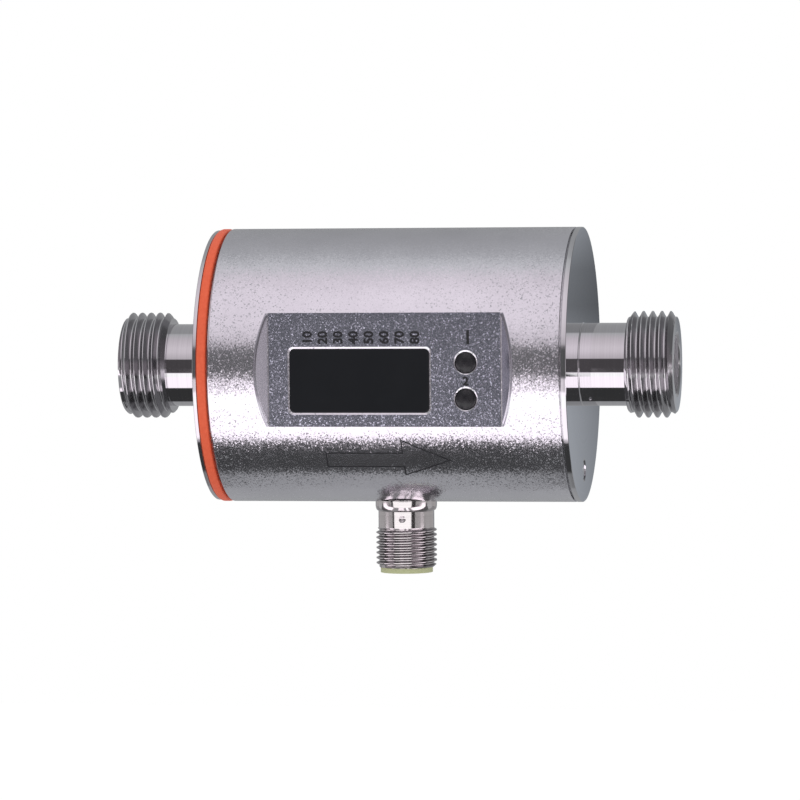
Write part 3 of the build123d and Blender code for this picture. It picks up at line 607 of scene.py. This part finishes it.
def face_front(mark):
    """Turn a flat mark's faces to the front."""
    open_mesh(mark)
    bpy.ops.mesh.select_all(action="SELECT")
    bpy.ops.mesh.normals_make_consistent(inside=False)
    lay_down()
    normal = sum((f.normal * f.area for f in mark.data.polygons), Vector())
    if normal.y > 0:
        mark.data.flip_normals()


# Flow arrow: drawn flat with its height as the arc below the front, then laid round the sleeve.
INK_HEIGHT = 0.02
ARROW_START, HEAD_START, ARROW_TIP = 43.8, 58.8, 68.4
ARROW_SHAFT = (-21.2, -17.3)
ARROW_HEAD = (-23.7, -14.1)
arrow = printed("flow_arrow", [
    (ARROW_START, ARROW_SHAFT[0]), (HEAD_START, ARROW_SHAFT[0]), (HEAD_START, ARROW_HEAD[0]), (ARROW_TIP, -19.3),
    (HEAD_START, ARROW_HEAD[1]), (HEAD_START, ARROW_SHAFT[1]), (ARROW_START, ARROW_SHAFT[1]),
], 0.28)
open_mesh(arrow)
bpy.ops.mesh.select_all(action="SELECT")
bpy.ops.mesh.subdivide(number_cuts=9)
lay_down()
for v in arrow.data.vertices:
    angle = v.co.z / MM / BODY_RADIUS
    reach = (BODY_RADIUS + INK_HEIGHT) * MM
    v.co = (v.co.x, -reach * cos(angle), reach * sin(angle))
face_front(arrow)


CAPITAL_SHARE = 0.7
STROKE_GROWTH = 0.09


def numeral(text, x, z, height, turn=0.0):
    """A printed number on the panel."""
    lay_down()
    bpy.ops.object.text_add(location=(0, 0, 0))
    words = bpy.context.object
    words.data.body = text
    words.data.size = height / CAPITAL_SHARE * MM
    words.data.align_x = "LEFT"
    words.data.align_y = "CENTER"
    words.data.resolution_u = 6
    words.data.offset = STROKE_GROWTH * MM
    bpy.ops.object.convert(target="MESH")
    words.rotation_euler = (pi / 2, -turn, 0)
    words.location = (x * MM, (PANEL_Y - INK_HEIGHT) * MM, z * MM)
    return settle(words)


def gather(name, marks):
    """Join marks into one piece."""
    lay_down()
    for mark in marks:
        mark.select_set(True)
    bpy.context.view_layer.objects.active = marks[0]
    bpy.ops.object.join()
    marks[0].name = name
    face_front(marks[0])
    return marks[0]


legend = gather("lamp_numerals", [
    numeral(str(10 * (index + 1)), 41.1 + 3.0 * index, 4.95, 1.75, pi / 2) for index in range(8)
])
button_marks = gather("button_numerals", [numeral("1", 71.4, 6.1, 2.6), numeral("2", 71.3, -2.3, 1.6)])


# ---- Finishes ----
def colour(code):
    """An sRGB hex colour as Blender's linear one."""
    parts = [int(code[i:i + 2], 16) / 255 for i in (1, 3, 5)]
    return tuple(p / 12.92 if p <= 0.04045 else ((p + 0.055) / 1.055) ** 2.4 for p in parts) + (1.0,)


def put(tree, kind, settings):
    """Add a node with its settings and links: a setting that is another node's output becomes a link."""
    node = tree.nodes.new("ShaderNode" + kind)
    for key, value in settings.items():
        if isinstance(value, bpy.types.NodeSocket):
            tree.links.new(value, node.inputs[key])
        elif key == "stops":
            marks = node.color_ramp.elements
            while len(marks) > 1:
                marks.remove(marks[-1])
            marks[0].position, marks[0].color = value[0]
            for place, tint in value[1:]:
                marks.new(place).color = tint
        elif isinstance(key, int) or key in node.inputs:
            node.inputs[key].default_value = value
        else:
            setattr(node, key, value)
    return node


def per_mm(size):
    """Texture scale for a pattern of a size in millimetres."""
    return 1 / (size * MM)


def grey(value):
    """A linear grey from black at 0 to white at 1."""
    return (value, value, value, 1.0)


# Depths of the grain, the feed rings and the mould's face, the size of clouds over a metal, and where in a noise
# its two tints stand
GRAIN_DEPTH = 0.004
FEED_DEPTH = 0.003
MOULD_DEPTH = 0.01
CLOUD_SIZE = 9.0
TINT_PLACES = (0.3, 0.7)


def start_finish(name):
    """A new empty material, its node tree and the place on a piece that its patterns are laid by."""
    made = bpy.data.materials.new(name)
    made.use_nodes = True
    made.node_tree.nodes.clear()
    return made, made.node_tree, put(made.node_tree, "TexCoord", {}).outputs["Object"]


def end_solid(made, tints, tint_by, roughness, matt_by, normal, metallic=1.0):
    """Finish an opaque material. Its tint and its roughness each run between two values, led by a noise."""
    tree = made.node_tree
    stops = [(place, colour(code)) for place, code in zip(TINT_PLACES, tints)]
    tint = put(tree, "ValToRGB", {"Fac": tint_by, "stops": stops})
    matt = put(tree, "MapRange", {"Value": matt_by, "To Min": roughness[0], "To Max": roughness[1]})
    shader = put(tree, "BsdfPrincipled", {
        "Metallic": metallic, "Base Color": tint.outputs["Color"], "Roughness": matt.outputs["Result"],
        "Normal": normal,
    })
    put(tree, "OutputMaterial", {"Surface": shader.outputs["BSDF"]})
    return made


def grained_metal(name, low, high, grain_mm, roughness, bump):
    """Metal with an even grain: blasted, cast or plated. A finer grain is drawn as coarse as it needs to show."""
    made, tree, place = start_finish(name)
    grain = put(tree, "TexNoise", {
        "Vector": place, "Scale": per_mm(grain_mm), "Detail": 3.0, "Roughness": 0.6,
    }).outputs["Fac"]
    cloud = put(tree, "TexNoise", {"Vector": place, "Scale": per_mm(CLOUD_SIZE), "Detail": 2.0}).outputs["Fac"]
    face = put(tree, "Bump", {"Height": grain, "Strength": bump, "Distance": GRAIN_DEPTH * MM}).outputs["Normal"]
    return end_solid(made, (low, high), grain, roughness, cloud, face)


def dented_metal(name, low, high, dent_mm, roughness, tilt):
    """Metal under small dents, each tilted its own way: most of them a little, a few of them much."""
    made, tree, place = start_finish(name)
    dents = put(tree, "TexVoronoi", {"Vector": place, "Scale": per_mm(dent_mm)}).outputs["Color"]
    way = put(tree, "VectorMath", {"operation": "MULTIPLY_ADD", 0: dents, 1: (2, 2, 2), 2: (-1, -1, -1)}).outputs[0]
    lean = way
    for factor in (way, way, (tilt, tilt, tilt)):
        lean = put(tree, "VectorMath", {"operation": "MULTIPLY", 0: lean, 1: factor}).outputs[0]
    surface = put(tree, "NewGeometry", {}).outputs["Normal"]
    leaning = put(tree, "VectorMath", {"operation": "ADD", 0: lean, 1: surface}).outputs[0]
    normal = put(tree, "VectorMath", {"operation": "NORMALIZE", 0: leaning}).outputs[0]
    cloud = put(tree, "TexNoise", {"Vector": place, "Scale": per_mm(CLOUD_SIZE), "Detail": 2.0}).outputs["Fac"]
    return end_solid(made, (low, high), cloud, roughness, cloud, normal)


def lathed_metal(name, low, high, feed_mm, roughness, bump, axis):
    """Metal with the fine rings that a lathe tool leaves round an axis: really 0.1 mm apart, drawn wider to show."""
    made, tree, place = start_finish(name)
    local = put(tree, "Mapping", {"Vector": place, "Location": tuple(-c * MM for c in axis.centre)})
    parts = put(tree, "SeparateXYZ", {"Vector": local.outputs["Vector"]}).outputs
    along = next(parts[n] for n, w in zip("XYZ", axis.way) if abs(w) > 0.5)
    first, second = (
        put(tree, "Math", {"operation": "MULTIPLY", 0: parts[n], 1: parts[n]}).outputs[0]
        for n, w in zip("XYZ", axis.way) if abs(w) < 0.5
    )
    square = put(tree, "Math", {"operation": "ADD", 0: first, 1: second}).outputs[0]
    radius = put(tree, "Math", {"operation": "SQRT", 0: square}).outputs[0]
    rings = put(tree, "CombineXYZ", {"X": along, "Y": radius}).outputs["Vector"]
    grain = put(tree, "TexNoise", {"Vector": rings, "Scale": per_mm(feed_mm), "Detail": 2.0}).outputs["Fac"]
    cloud = put(tree, "TexNoise", {"Vector": place, "Scale": per_mm(7.0), "Detail": 2.0}).outputs["Fac"]
    face = put(tree, "Bump", {"Height": grain, "Strength": bump, "Distance": FEED_DEPTH * MM}).outputs["Normal"]
    return end_solid(made, (low, high), grain, roughness, cloud, face)


def moulded(name, low, high, grain_mm, roughness, bump=0.1):
    """Plastic, rubber or lacquer with the faint grain of its mould, drawn as coarse as it needs to show."""
    made, tree, place = start_finish(name)
    grain = put(tree, "TexNoise", {"Vector": place, "Scale": per_mm(grain_mm), "Detail": 3.0}).outputs["Fac"]
    face = put(tree, "Bump", {"Height": grain, "Strength": bump, "Distance": MOULD_DEPTH * MM}).outputs["Normal"]
    return end_solid(made, (low, high), grain, roughness, grain, face, metallic=0.0)


# Bead blasting leaves small dents that tilt the light, so the eye gets a soft sheen that sparkles where light
# meets dark. The dents are really 0.1 mm across; they are drawn at 0.22 mm, which is about a pixel of the picture.
blasted_steel = dented_metal("bead_blasted_stainless_steel", "#DBD9DF", "#E3E1E7", 0.22, (0.13, 0.18), 0.085)
# The flat of the panel was pressed after blasting, which flattened its dents: an even grey with a fine grain. Its
# grey, darker and bluer than the sleeve's, is painted shade: it stands in for the cool, dim light that the flat
# reflects.
panel_steel_painted_shade = dented_metal("flat_pressed_steel_painted_shade", "#C2C4D2", "#CACCDA", 0.2, (0.16, 0.19), 0.085)
# The pressed ends of the panel are drawn smooth by the tool, so they shine evenly.
pressed_steel = grained_metal("pressed_stainless_steel", "#B2B0B8", "#BAB8C0", 0.5, (0.16, 0.22), 0.3)
# Turning leaves rings of the feed, which the eye sees as a soft sheen across clear reflections.
turned_steel = lathed_metal("turned_stainless_steel", "#C6C4C7", "#CECCCF", 0.3, (0.03, 0.05), 0.08, PIPE)
# The covers are faced and polished: near mirrors with very faint rings.
polished_steel = lathed_metal("polished_stainless_steel", "#CAC9CC", "#D2D1D4", 0.35, (0.05, 0.08), 0.08, PIPE)
# A bored port keeps coarse tool marks and scatters what light enters it.
bored_steel = grained_metal("rough_bored_stainless_steel", "#D6D6D8", "#E0E0E2", 0.4, (0.85, 0.95), 0.3)
# Thread flanks are cut in one pass. Their steel is painted darker as shade between the turns: darker than the turned
# crests, so the eye reads every turn.
shaded_flank_steel = lathed_metal("thread_flank_steel_painted_shade", "#AAA8AB", "#B4B2B5", 0.3, (0.12, 0.18), 0.1, PIPE)
# Nickel plating over turned brass: bright, with a faint warm cast.
plated_brass = lathed_metal("nickel_plated_brass", "#C9C3C4", "#D3CDCE", 0.3, (0.08, 0.12), 0.1, CONNECTOR)
# Down in a thread the plating is drawn duller, and its colour is painted darker as shade.
shaded_flank_brass = lathed_metal("nickel_plated_brass_thread_painted_shade", "#969193", "#A09B9D", 0.3, (0.14, 0.2), 0.1, CONNECTOR)
# Silicone is matt and even, so its orange stays the same shade all the way round.
orange_silicone = moulded("moulded_orange_silicone", "#F4613A", "#FC6C45", 0.6, (0.42, 0.5))
# Printed black from behind: the glossy front shows a deep even black with a clear glint.
window_glass = moulded("black_printed_polycarbonate", "#1D1E22", "#202125", 8.0, (0.06, 0.09), 0.02)
# Soft rubber with a polished mould face, which gives each dome one small soft highlight.
button_rubber = moulded("moulded_black_rubber", "#1B1A1F", "#212025", 0.4, (0.24, 0.3))
# Glass-filled nylon looks slightly grey and sandy.
black_nylon = moulded("moulded_black_nylon", "#1E1E20", "#28282B", 0.3, (0.4, 0.5), 0.2)
# Nitrile seals are dull black with hardly a highlight.
black_nitrile = moulded("moulded_black_nitrile", "#17171A", "#1E1E21", 0.4, (0.5, 0.6), 0.2)
# Undyed resin shows a warm ivory with faint flow clouds.
natural_resin = moulded("moulded_natural_resin", "#C9B48E", "#D6C39F", 0.6, (0.35, 0.45))
# The plug's insert is a pale yellowish green, matt enough to look soft beside the nickel.
insert_resin = moulded("moulded_pale_green_resin", "#BFC394", "#CBCEA3", 0.5, (0.35, 0.42))
# Solder lacquer over a glass weave: dark green with a wet gloss.
board_lacquer = moulded("green_board_lacquer", "#0E4A2A", "#17603A", 0.8, (0.25, 0.35), 0.15)
# Cast resin over a lamp chip looks milky and shiny.
lamp_resin = moulded("clear_cast_lamp_resin", "#D9D8CE", "#E6E5DD", 0.5, (0.1, 0.16))
# Thin gold over nickelled pins gives a warm, slightly matt shine.
gold_plate = grained_metal("gold_plated_brass", "#E2B75E", "#EDC570", 0.3, (0.16, 0.24), 0.2)
# Annealing leaves iron dull grey with a sandy grain.
soft_iron = grained_metal("annealed_soft_iron", "#8E8E92", "#A0A0A4", 0.5, (0.35, 0.45), 0.4)
# Enamel over fine wire darkens the copper to a reddish brown gloss; the grain stands for the turns.
copper_wire = grained_metal("enamelled_copper_wire", "#B4683C", "#C97A4A", 0.3, (0.28, 0.36), 0.4)
# Ink lies thin over the blasted steel, so it reads as a very dark bluish grey and not as full black.
black_ink = moulded("screen_printed_black_ink", "#17171C", "#1F1F25", 0.3, (0.45, 0.55))

# ---- What replaces what ----
dressed = [
    (sleeve, "housing", ["housing_sleeve"], "satin_steel", blasted_steel),
    (inlet_cover, "housing", ["inlet_cover"], "satin_steel", polished_steel),
    (outlet_cover, "housing", ["outlet_cover"], "turned_steel", polished_steel),
    (vent_plug, "housing", ["vent_plug"], "turned_steel", polished_steel),
    (housing_ring, "housing", ["housing_seal_ring"], "orange_rubber", orange_silicone),
    (inlet_stub, "housing", ["inlet_stub"], "turned_steel", turned_steel),
    (outlet_stub, "housing", ["outlet_stub"], "turned_steel", turned_steel),
    (window, "housing", ["display_window"], "black_window", window_glass),
    (buttons["mode"], "mode_button", ["mode_button"], "black_plastic", button_rubber),
    (buttons["set"], "set_button", ["set_button"], "black_plastic", button_rubber),
    (plug_shell, "housing", ["connector_shell"], "nickel_plate", plated_brass),
    (arrow, "housing", [], "black_plastic", black_ink),
    (legend, "housing", [], "black_plastic", black_ink),
    (button_marks, "housing", [], "black_plastic", black_ink),
]
for piece, body, nodes, slot_name, finish in dressed:
    piece.data.materials.clear()
    piece.data.materials.append(finish)
    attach(piece, body)
    if nodes:
        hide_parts(*nodes)


def share_out(piece, finishes, rule):
    """Add more finishes to a piece and give each face the one whose number a rule names; 0 is the first one."""
    for finish in finishes:
        piece.data.materials.append(finish)
    for face in piece.data.polygons:
        face.material_index = rule(face.center / MM, face.normal)


def sleeve_rule(middle, normal):
    """1 for the pressed ends of the panel, 2 for its flat, whose grey is painted darker and cooler as shade."""
    if abs(middle.y - PANEL_Y) < 0.02 and normal.y < -0.99:
        return 2
    return int(middle.y < PANEL_Y - 0.01 and abs(normal.x) > 0.08 and abs(middle.x - METER_MID) < 26)


def stub_rule(middle, normal):
    """1 for the bore, 2 for the flanks of the thread, which wear steel painted darker as shade."""
    radius = hypot(middle.y, middle.z)
    if radius < PORT_BORE + 0.02:
        return 1
    return 2 if 9.28 < radius < 11 and abs(normal.x) > 0.6 else 0


def plug_rule(middle, normal):
    """1 for the flanks of the thread, whose plating is painted darker as shade."""
    outside = hypot(middle.x - METER_MID, middle.y) > 5.3
    return int(middle.z < PLUG_RUNOUT - 0.1 and outside and 0.6 < abs(normal.z) < 0.98)


share_out(sleeve, [pressed_steel, panel_steel_painted_shade], sleeve_rule)
share_out(inlet_stub, [bored_steel, shaded_flank_steel], stub_rule)
share_out(outlet_stub, [bored_steel, shaded_flank_steel], stub_rule)
share_out(plug_shell, [shaded_flank_brass], plug_rule)

# Pieces that are not modelled again wear the finish of their slot.
slot_finish = {
    "satin_steel": blasted_steel, "turned_steel": turned_steel, "nickel_plate": plated_brass,
    "orange_rubber": orange_silicone, "black_rubber": black_nitrile, "black_window": window_glass,
    "black_plastic": black_nylon, "natural_plastic": natural_resin, "insert_plastic": insert_resin,
    "gold_brass": gold_plate, "soft_iron": soft_iron, "copper_wire": copper_wire,
    "green_board": board_lacquer, "lamp_plastic": lamp_resin,
}
for part in frame["record"]["subparts"]:
    node = frame["nodes"][part["node"]]
    node.data.materials.clear()
    node.data.materials.append(slot_finish[part["material_slot"]])


# ---- Studio: places in the tent are in metres, corners of cards in millimetres ----
TENT_RADIUS = 0.7
TENT_LENGTH = 3.0
TENT_LIGHT = 2.0
ROSE = (1.0, 0.93, 0.99)
COOL = (0.96, 0.98, 1.0)


def end_glow(made, tint, strength):
    """Finish a paper that glows for reflections; it is never sampled as a lamp."""
    light = put(made.node_tree, "Emission", {"Color": tint, "Strength": strength})
    put(made.node_tree, "OutputMaterial", {"Surface": light.outputs["Emission"]})
    made.cycles.emission_sampling = "NONE"
    return made


def only_in_gloss(board):
    """The board is seen in reflections alone."""
    for kind in ("camera", "diffuse", "transmission", "shadow"):
        setattr(board, "visible_" + kind, False)


# A light tent round the meter: its paper is lit unevenly, and polished metal shows it.
lay_down()
bpy.ops.mesh.primitive_cylinder_add(
    vertices=96, radius=TENT_RADIUS, depth=TENT_LENGTH, end_fill_type="NGON",
    location=(METER_MID * MM, 0, 0), rotation=(0, pi / 2, 0),
)
tent = settle(just_added("light_tent"))
tent_paper, tree, place = start_finish("light_tent_paper")
spot = put(tree, "SeparateXYZ", {"Vector": place}).outputs
front = put(tree, "Math", {"operation": "MULTIPLY", 0: spot["Y"], 1: -1.0}).outputs[0]
angle = put(tree, "Math", {"operation": "ARCTAN2", 0: spot["Z"], 1: front}).outputs[0]
turn_share = put(tree, "MapRange", {"Value": angle, "From Min": -pi, "From Max": pi}).outputs["Result"]


def paper(level, tint=(1.0, 1.0, 1.0)):
    """Tent paper of a level of light, as a share of the brightest."""
    return tuple(level / TENT_LIGHT * t for t in tint) + (1.0,)


# Each band is what one part of the meter sees of the tent. The dark stops beside the white ones draw the dark
# lines along its polished rounds. A stop is (degrees, level, tint); 0 degrees is straight ahead and 90 is up.
BACK_LEVEL = 0.44
band_stops = {"body": [
    (-180, 0.33, COOL), (-165, 0.36, COOL), (-140, 0.41, COOL), (-101, 0.41, COOL), (-97, 0.06, COOL),
    (-63, 0.06, COOL), (-61, 1.6, ROSE), (-10, 1.6, ROSE), (-8, 0.15, COOL), (14, 0.15, COOL), (18, 0.55, ROSE),
    (26, 0.85, ROSE),
    (38, 0.97, ROSE), (60, 1.0, ROSE), (78, 0.84, ROSE), (91, 0.71, COOL), (106, 0.52, COOL), (124, 0.42, COOL),
    (150, 0.36, COOL), (180, 0.33, COOL),
], "neck": [
    (-180, BACK_LEVEL, COOL), (-124, BACK_LEVEL, COOL), (-121, 0.05, COOL), (-66, 0.05, COOL), (-64.5, 1.7, ROSE),
    (-21, 1.7, ROSE), (-19.5, 0.09, ROSE), (17, 0.09, ROSE), (18.5, 0.70, ROSE), (38, 0.92, ROSE), (50, 0.94, ROSE),
    (76, 0.78, ROSE), (98, 0.62, COOL), (102, BACK_LEVEL, COOL), (180, BACK_LEVEL, COOL),
], "side": [
    (-180, 0.4, COOL), (-30, 0.4, COOL), (-18, 0.72, ROSE), (6, 0.72, ROSE), (16, 0.4, COOL), (180, 0.4, COOL),
], "outer": [
    (-180, 0.35, COOL), (-124, 0.35, COOL), (-121, 0.12, COOL), (-66, 0.12, COOL), (-64, 2.0, ROSE), (-21, 2.0, ROSE),
    (-19, 0.18, ROSE), (17, 0.18, ROSE), (19, 0.26, ROSE), (98, 0.22, ROSE), (102, 0.18, COOL), (180, 0.3, COOL),
], "end": [
    (-180, 0.6, COOL), (-124, 0.6, COOL), (-121, 0.15, COOL), (-66, 0.15, COOL), (-64, 2.0, ROSE), (-21, 2.0, ROSE),
    (-19, 0.55, ROSE), (15, 0.55, ROSE), (19, 0.3, ROSE), (98, 0.25, ROSE), (102, 0.2, COOL), (150, 0.2, COOL),
    (180, 0.6, COOL),
]}
# What the outlet neck and the cover's face show of each other comes from a far band that repeats the neck's.
band_stops["far"] = [
    (a, 0.4 if level == BACK_LEVEL else min(1.3 * level, TENT_LIGHT), tint) for a, level, tint in band_stops["neck"]
]
bands = {}
for name, stops in band_stops.items():
    shades = [((a + 180) / 360, paper(level, tint)) for a, level, tint in stops]
    bands[name] = put(tree, "ValToRGB", {"Fac": turn_share, "stops": shades}).outputs["Color"]

# Where along the tent each band begins. The stubs see it left and right of the stretch that the sleeve sees.
along = spot["X"]
SEEN_MIDDLE = -0.065
off_centre = put(tree, "Math", {"operation": "SUBTRACT", 0: along, 1: SEEN_MIDDLE}).outputs[0]
distance = put(tree, "Math", {"operation": "ABSOLUTE", 0: off_centre}).outputs[0]
shares = {}
for name, source, start, end in (
    ("left", along, -0.123, -0.129), ("right", along, 0.001, 0.005),
    ("side", distance, 0.1, 0.13), ("outer", distance, 0.4, 0.5), ("end", distance, 0.9, 1.3),
    ("far_start", along, 0.135, 0.145), ("far_end", along, 0.24, 0.23),
    ("strip_low", spot["Z"], -0.168, -0.162), ("strip_high", spot["Z"], -0.072, -0.078),
):
    shares[name] = put(tree, "MapRange", {"Value": source, "From Min": start, "From Max": end}).outputs["Result"]
for name, operation, first, second in (
    ("neck", "ADD", "left", "right"), ("far", "MULTIPLY", "far_start", "far_end"),
    ("strip_height", "MULTIPLY", "strip_low", "strip_high"), ("strip", "MULTIPLY", "strip_height", "outer"),
):
    settings = {"operation": operation, "use_clamp": True, 0: shares[first], 1: shares[second]}
    shares[name] = put(tree, "Math", settings).outputs[0]
# A plain strip of paper runs where the sides of the upright plug look.
bands["strip"] = put(tree, "RGB", {}).outputs["Color"]
bands["strip"].default_value = paper(0.5)
whole_paper = bands["body"]
for name in ("neck", "side", "outer", "far", "end", "strip"):
    settings = {"data_type": "RGBA", 0: shares[name], 6: whole_paper, 7: bands[name]}
    whole_paper = put(tree, "Mix", settings).outputs[2]
tent.data.materials.append(end_glow(tent_paper, whole_paper, TENT_LIGHT))
only_in_gloss(tent)


def card(name, corner, opposite, finish):
    """A flat card between its lower left and upper right corners, seen in reflections alone."""
    lay_down()
    (x0, y0, z0), (x1, y1, z1) = corner, opposite
    middle = ((x0 + x1) / 2 * MM, (y0 + y1) / 2 * MM, (z0 + z1) / 2 * MM)
    lean = atan2(y1 - y0, z1 - z0)
    bpy.ops.mesh.primitive_plane_add(size=1, location=middle, rotation=(pi / 2 - lean, 0, 0))
    board = just_added(name)
    board.scale = ((x1 - x0) * MM, hypot(y1 - y0, z1 - z0) * MM, 1)
    settle(board)
    board.data.materials.append(finish)
    only_in_gloss(board)


# In front of the plug leans a white card between two dark edges; it lies inside the white band that the sleeve
# and the necks see.
for name, corner, opposite, level in (
    ("front_card", (-23, -105, -62), (106, -88, -32.5), 1.6),
    ("left_edge", (-48, -105, -62), (-23, -88, -32.5), 0.06),
    ("right_edge", (106, -105, -62), (146, -88, -32.5), 0.06),
):
    card_paper, tree, place = start_finish(name + "_paper")
    card(name, corner, opposite, end_glow(card_paper, grey(1.0), level))

# Behind the outlet cover hangs a dark cloth that glows for reflections alone, which its polished face mirrors: its
# light is painted lighter at both ends and to the right.
cloth_light, tree, place = start_finish("dark_cloth_light")
spot = put(tree, "SeparateXYZ", {"Vector": place}).outputs
height = put(tree, "MapRange", {"Value": spot["Z"], "From Min": -0.06, "From Max": 0.05}).outputs["Result"]
shades = [
    (share, (0.93 * level, 0.99 * level, 1.08 * level, 1.0))
    for share, level in ((0.0, 0.3), (0.36, 0.29), (0.5, 0.22), (0.6, 0.13), (0.68, 0.15), (0.77, 0.26), (0.9, 0.36))
]
cloth_glow_ramp = put(tree, "ValToRGB", {"Fac": height, "stops": shades}).outputs["Color"]
sideways = put(tree, "MapRange", {
    "Value": spot["X"], "From Min": 0.113, "From Max": 0.122, "To Min": 0.85, "To Max": 1.45,
}).outputs["Result"]
card("dark_cloth", (98, 200, -60), (132, 200, 50), end_glow(cloth_light, cloth_glow_ramp, sideways))


def seen_share(tree):
    """1 for light that reaches the eye straight or by way of metal or glass, 0 for light that only lights."""
    path = put(tree, "LightPath", {}).outputs
    straight = put(tree, "Math", {"operation": "ADD", 0: path["Is Camera Ray"], 1: path["Is Glossy Ray"]}).outputs[0]
    settings = {"operation": "ADD", "use_clamp": True, 0: straight, 1: path["Is Transmission Ray"]}
    return put(tree, "Math", settings).outputs[0]


# Floor: pale, far enough below that its shadow stays soft.
lay_down()
bpy.ops.mesh.primitive_plane_add(size=12, location=(0, 0, -0.75))
floor = just_added("studio_floor")
floor_paint, tree, place = start_finish("studio_floor_paint")
matt_floor = put(tree, "BsdfDiffuse", {"Color": grey(0.8)}).outputs["BSDF"]
lift_share = put(tree, "Math", {"operation": "MULTIPLY", 0: seen_share(tree), 1: 0.35}).outputs[0]
lift = put(tree, "Emission", {"Color": grey(1.0), "Strength": lift_share}).outputs["Emission"]
both = put(tree, "AddShader", {0: matt_floor, 1: lift}).outputs["Shader"]
put(tree, "OutputMaterial", {"Surface": both})
floor.data.materials.append(floor_paint)

# The world is a plain white studio: white to the eye and in metal, a little less as light.
world = bpy.data.worlds.new("white_studio")
bpy.context.scene.world = world
world.use_nodes = True
tree = world.node_tree
tree.nodes.clear()
as_light = put(tree, "Background", {"Color": grey(1.0), "Strength": 0.85}).outputs["Background"]
as_seen = put(tree, "Background", {"Color": grey(1.0), "Strength": 1.0}).outputs["Background"]
whole_world = put(tree, "MixShader", {0: seen_share(tree), 1: as_light, 2: as_seen}).outputs["Shader"]
put(tree, "OutputWorld", {"Surface": whole_world})

# ---- Camera, as the threads and rims in the photo give it ----
CAMERA_PLACE = (208.908, -919.316, 36.335)
FOCAL_PIXELS = 4721.61
IMAGE_PIXELS = 800
SENSOR_WIDTH = 36
yaw, pitch, roll = radians(9.50774), radians(2.66075), radians(-0.47642)
ahead = Vector((-sin(yaw) * cos(pitch), cos(yaw) * cos(pitch), -sin(pitch)))
right = Vector((cos(yaw), sin(yaw), 0))
up = right.cross(ahead)
right, up = cos(roll) * right + sin(roll) * up, -sin(roll) * right + cos(roll) * up
camera = bpy.data.objects.new("camera", bpy.data.cameras.new("camera"))
bpy.context.scene.collection.objects.link(camera)
turn = Matrix((right, up, -ahead)).transposed().to_4x4()
camera.matrix_world = Matrix.Translation(Vector(CAMERA_PLACE) * MM) @ turn
camera.data.sensor_width = SENSOR_WIDTH
camera.data.lens = FOCAL_PIXELS / IMAGE_PIXELS * SENSOR_WIDTH
camera.data.clip_start = 0.01
camera.data.clip_end = 20
bpy.context.scene.camera = camera
bpy.context.scene.view_settings.view_transform = "Standard"

lay_down()
